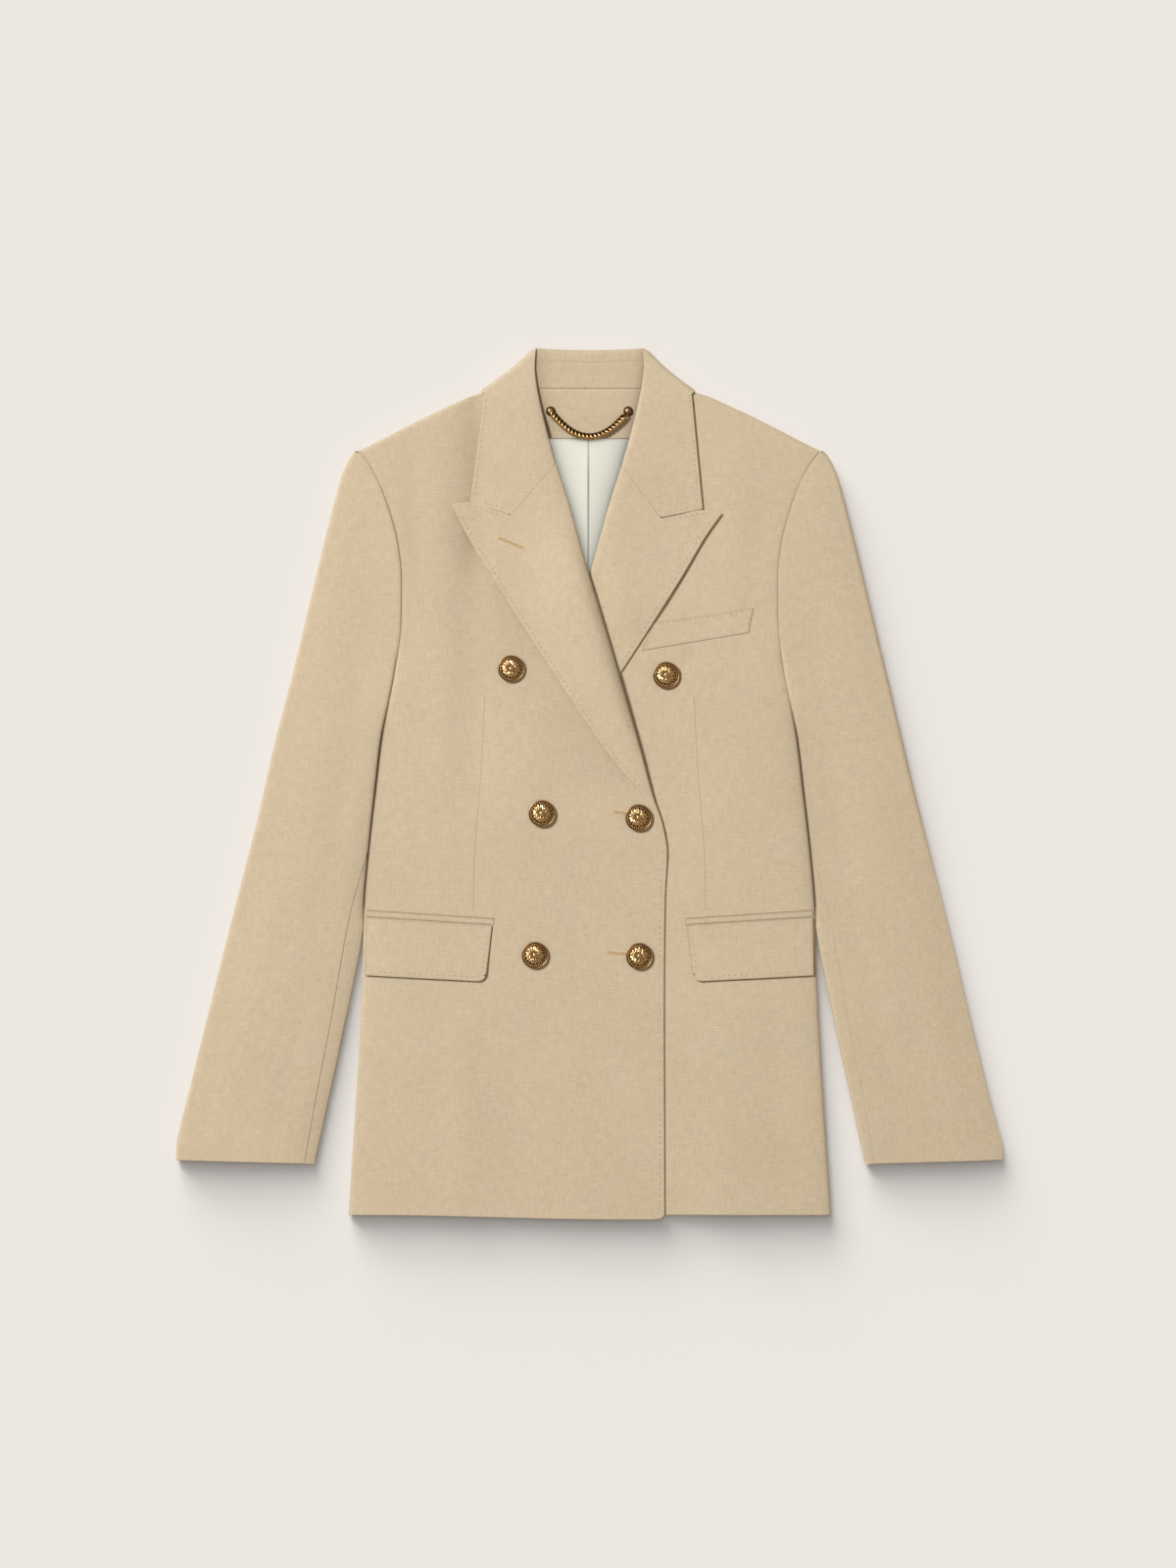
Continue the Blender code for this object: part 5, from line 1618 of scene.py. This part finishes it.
def finished(material, base, roughness, specular, bump=None, others=()):
    """Fills in the material's shader. bump is what gives the height, its strength and reach."""
    tree = material.node_tree
    settings = {"Base Color": base, "Roughness": roughness, "Specular IOR Level": specular}
    settings.update(others)
    if bump:
        height, strength, reach = bump
        raised = node(tree, "ShaderNodeBump", Strength=strength, Distance=reach, Height=height)
        settings["Normal"] = raised.outputs["Normal"]
    fill(tree, tree.nodes["Principled BSDF"], settings)
    return material


def noise_at(tree, coordinates, scale, detail=2.0):
    """A noise texture stretched by its scale along each axis."""
    mapping = node(tree, "ShaderNodeMapping", Scale=scale, Vector=coordinates)
    at = mapping.outputs["Vector"]
    texture = node(tree, "ShaderNodeTexNoise", Scale=1.0, Detail=detail, Roughness=0.55, Vector=at)
    return texture.outputs["Fac"]


def maths(tree, operation, *values):
    made = node(tree, "ShaderNodeMath", operation=operation)
    for index, value in enumerate(values):
        if isinstance(value, float):
            made.inputs[index].default_value = value
        else:
            tree.links.new(value, made.inputs[index])
    return made.outputs[0]


def woven(tree, coordinates, pitch):
    """A plain weave: warp and weft threads that pass over each other in turn."""
    parts = node(tree, "ShaderNodeSeparateXYZ", Vector=coordinates)
    phases = [maths(tree, "MULTIPLY", parts.outputs[k], 2.0 * math.pi / pitch) for k in (0, 1)]
    waves = [maths(tree, "SINE", phase) for phase in phases]
    return maths(tree, "ABSOLUTE", maths(tree, "MULTIPLY", *waves))


def blended(tree, parts):
    """The sum of several values, each times its weight."""
    total = maths(tree, "MULTIPLY", *parts[0])
    for value, weight in parts[1:]:
        total = maths(tree, "MULTIPLY_ADD", value, weight, total)
    return total


def mixed(tree, factor, first, second, blend="MIX"):
    made = node(tree, "ShaderNodeMix", data_type="RGBA", blend_type=blend)
    fill(tree, made, {"Factor": factor, "A": first, "B": second})
    return made.outputs["Result"]


def with_painted_shade(tree, colour, shade):
    """The colour, darkened towards its shade colour by the mesh's painted shade, which is 0 where
    it has none.
    """
    painted_shade = node(tree, "ShaderNodeAttribute", attribute_name="painted_shade").outputs["Fac"]
    return mixed(tree, painted_shade, colour, (*shade, 1.0))


def ramped(tree, amount, low, high, start=0.0, end=1.0):
    """A colour that runs from low to high while the amount runs from start to end."""
    ramp = node(tree, "ShaderNodeValToRGB", Fac=amount)
    first, last = ramp.color_ramp.elements
    first.position, last.position = start, end
    first.color, last.color = (*low, 1.0), (*high, 1.0)
    return ramp.outputs["Color"]


def scaled(colour, share):
    return [min(1.0, channel * share) for channel in colour]


def wool_material():
    """Plain-woven wool: threads, slubs along both grains, and a faint nap."""
    wool, tree = new_material("wool")
    grain = node(tree, "ShaderNodeUVMap", uv_map="cloth").outputs["UV"]
    weave = woven(tree, grain, WEAVE_PITCH)
    parts = []
    for along_warp, along_weft, detail, weight in WOOL_NOISES:
        parts.append((noise_at(tree, grain, (along_warp, along_weft, 1.0), detail), weight))
    fuzz = parts[2][0]
    amount = blended(tree, parts + [(weave, 0.05)])
    threads = ramped(tree, amount, scaled(WOOL_COLOUR, 0.5), scaled(WOOL_COLOUR, 1.5))
    hue = ramped(tree, noise_at(tree, grain, (20.0, 20.0, 1.0)), WOOL_COOL, WOOL_WARM)
    dyed = mixed(tree, 1.0, threads, hue, "MULTIPLY")
    height = maths(tree, "MULTIPLY_ADD", fuzz, 0.6, weave)
    # Painted shade darkens the wool where the mesh asks for it
    base = with_painted_shade(tree, dyed, WOOL_PAINTED_SHADE)
    sheen = {"Sheen Weight": 0.1, "Sheen Roughness": 0.45}
    return finished(wool, base, 0.9, 0.15, (height, 0.3, 0.0002), sheen)


def satin_material():
    """Lining satin: fine even threads with a low gloss."""
    satin, tree = new_material("satin")
    grain = node(tree, "ShaderNodeUVMap", uv_map="cloth").outputs["UV"]
    threads = noise_at(tree, grain, (1600.0, 60.0, 1.0))
    patches = noise_at(tree, grain, (18.0, 6.0, 1.0), 1.0)
    amount = maths(tree, "ADD", threads, maths(tree, "MULTIPLY", patches, 0.6))
    colour = ramped(tree, amount, scaled(SATIN_COLOUR, 0.96), SATIN_COLOUR, 0.4)
    # Painted shade darkens the satin where the mesh asks for it
    base = with_painted_shade(tree, colour, SATIN_PAINTED_SHADE)
    return finished(satin, base, 0.42, 0.45, (threads, 0.2, 0.0002), {"Sheen Weight": 0.1})


def grained_material(name, low, high, scale, roughness, specular):
    """An even colour with a fine grain, for thread, seams and the floor."""
    material, tree = new_material(name)
    place = node(tree, "ShaderNodeTexCoord").outputs["Object"]
    base = ramped(tree, noise_at(tree, place, (scale, scale, scale)), low, high)
    return finished(material, base, roughness, specular)


def thread_material(name, colour):
    return grained_material(name, scaled(colour, 0.85), scaled(colour, 1.15), 1200.0, 0.7, 0.2)


def brass_material():
    """Aged brass: bright on the raised parts and dark down in the buttons' relief, and darkened by
    painted shade low on the chain and studs.
    """
    brass, tree = new_material("brass")
    place = node(tree, "ShaderNodeTexCoord").outputs["Object"]
    patina_and_painted_shade = node(tree, "ShaderNodeAttribute", attribute_name="patina_and_shade").outputs["Fac"]
    wear = noise_at(tree, place, (700.0, 700.0, 700.0), 3.0)
    amount = maths(tree, "MULTIPLY_ADD", maths(tree, "SUBTRACT", wear, 0.5), 0.5, patina_and_painted_shade)
    base = ramped(tree, amount, BRASS_BRIGHT, BRASS_DARK, 0.1, 0.9)
    roughness = maths(tree, "MULTIPLY_ADD", amount, 0.3, 0.22)
    return finished(brass, base, roughness, 0.5, (wear, 0.15, 0.0001), {"Metallic": 1.0})


# ---------------------------------------------------------------- floor, light and camera
def add_lamp(name, kind, towards, tied, takes_tied):
    """A lamp on the side that towards points to, lighting the tied objects alone or all others."""
    lamp = add_object(name, bpy.data.lights.new(name, kind))
    lamp.rotation_mode = "QUATERNION"
    lamp.rotation_quaternion = Vector(towards).to_track_quat("Z", "Y")
    ties = bpy.data.collections.new(name + "_ties")
    for thing in tied:
        ties.objects.link(thing)
    lamp.light_linking.receiver_collection = ties
    for tie in ties.collection_objects:
        tie.light_linking.link_state = "INCLUDE" if takes_tied else "EXCLUDE"
    return lamp


def add_sun(name, towards, breadth, share, tied, takes_tied=True, colour=(1.0, 1.0, 1.0)):
    sun = add_lamp(name, "SUN", towards, tied, takes_tied)
    sun.data.angle = math.radians(breadth)
    sun.data.energy = math.pi * share
    sun.data.color = colour


def lights(floor, lining):
    """Lamps for the floor alone, for all but the floor, and for the lining.

    The lining lies deep in the neck, so soft light from above stands in for the key there.
    """
    for index, (elevation, azimuth, breadth, share) in enumerate(FLOOR_LAMPS):
        low, turn = math.radians(elevation), math.radians(azimuth)
        level = math.cos(low)
        towards = (-math.sin(turn) * level, math.cos(turn) * level, math.sin(low))
        add_sun("floor_lamp_%d" % index, towards, breadth, share / math.sin(low), [floor])
    up = (0.0, 0.0, 1.0)
    add_sun("floor_fill", up, FILL_BREADTH, FLOOR_FILL, [floor])
    add_sun("cloth_fill", up, FILL_BREADTH, CLOTH_FILL, [floor], False, CLOTH_FILL_COLOUR)
    key = add_lamp("key", "AREA", KEY_PLACE, [floor, lining], False)
    key.location = KEY_PLACE
    key.data.shape = "DISK"
    key.data.size = KEY_SIZE
    key.data.energy = KEY_POWER
    add_sun("lining_light", LINING_TOWARDS, LINING_BREADTH, LINING_SHARE, [lining])


def studio(lining):
    """Floor, lights, world and camera."""
    far = FLOOR_HALF
    corners = [(-far, -far, 0.0), (far, -far, 0.0), (far, far, 0.0), (-far, far, 0.0)]
    floor = add_object("floor", mesh_of("floor", corners, [(0, 1, 2, 3)]))
    floor_grain_low = scaled(FLOOR_COLOUR, 0.99)
    floor.data.materials.append(
        grained_material("floor", floor_grain_low, FLOOR_COLOUR, 300.0, roughness=0.95, specular=0.0)
    )
    floor.location.z = -0.0001
    lights(floor, lining)
    world = bpy.data.worlds.new("studio")
    world.use_nodes = True
    background = world.node_tree.nodes["Background"]
    background.inputs["Color"].default_value = (1.0, 1.0, 1.0, 1.0)
    background.inputs["Strength"].default_value = WORLD_STRENGTH
    bpy.context.scene.world = world
    camera = add_object("camera", bpy.data.cameras.new("camera"))
    camera.location = CAMERA_PLACE
    camera.data.lens = CAMERA_LENS
    camera.data.sensor_width = CAMERA_SENSOR
    camera.data.clip_end = 50.0
    bpy.context.scene.camera = camera
    bpy.context.scene.view_settings.view_transform = "Standard"


RANDOM = random.Random(7)
WOOL = wool_material()
SATIN = satin_material()
DIMPLE_SHADED_THREAD = thread_material("thread", DIMPLE_SHADED_THREAD_COLOUR)
GOLD_THREAD = thread_material("gold_thread", GOLD_THREAD_COLOUR)
SEAM_SHADE = thread_material("seam", SEAM_COLOUR)
DART_SHADE = thread_material("dart", DART_COLOUR)
SLIT_SHADE = thread_material("slit", SLIT_COLOUR)
BRASS = brass_material()
WITH = {name: [] for name in frame["nodes"]}  # the sewing that each node's cloth carries

for old in list(bpy.data.objects):
    if old.type in {"LIGHT", "CAMERA"}:
        bpy.data.objects.remove(old, do_unlink=True)
for side in SIGN:
    front_panel(side)
    side_panel(side)
    back_panel(side)
    sleeve_top(side)
    sleeve_under(side)
    lapel(side)
collar_fall()
collar_stand()
neck_facing()
studio(body_lining())
pockets()
for index, seat in enumerate(BUTTONS):
    button(seat, 0.4 * index)
hanger()
pick_stitching()
seam_lines()
buttonholes()
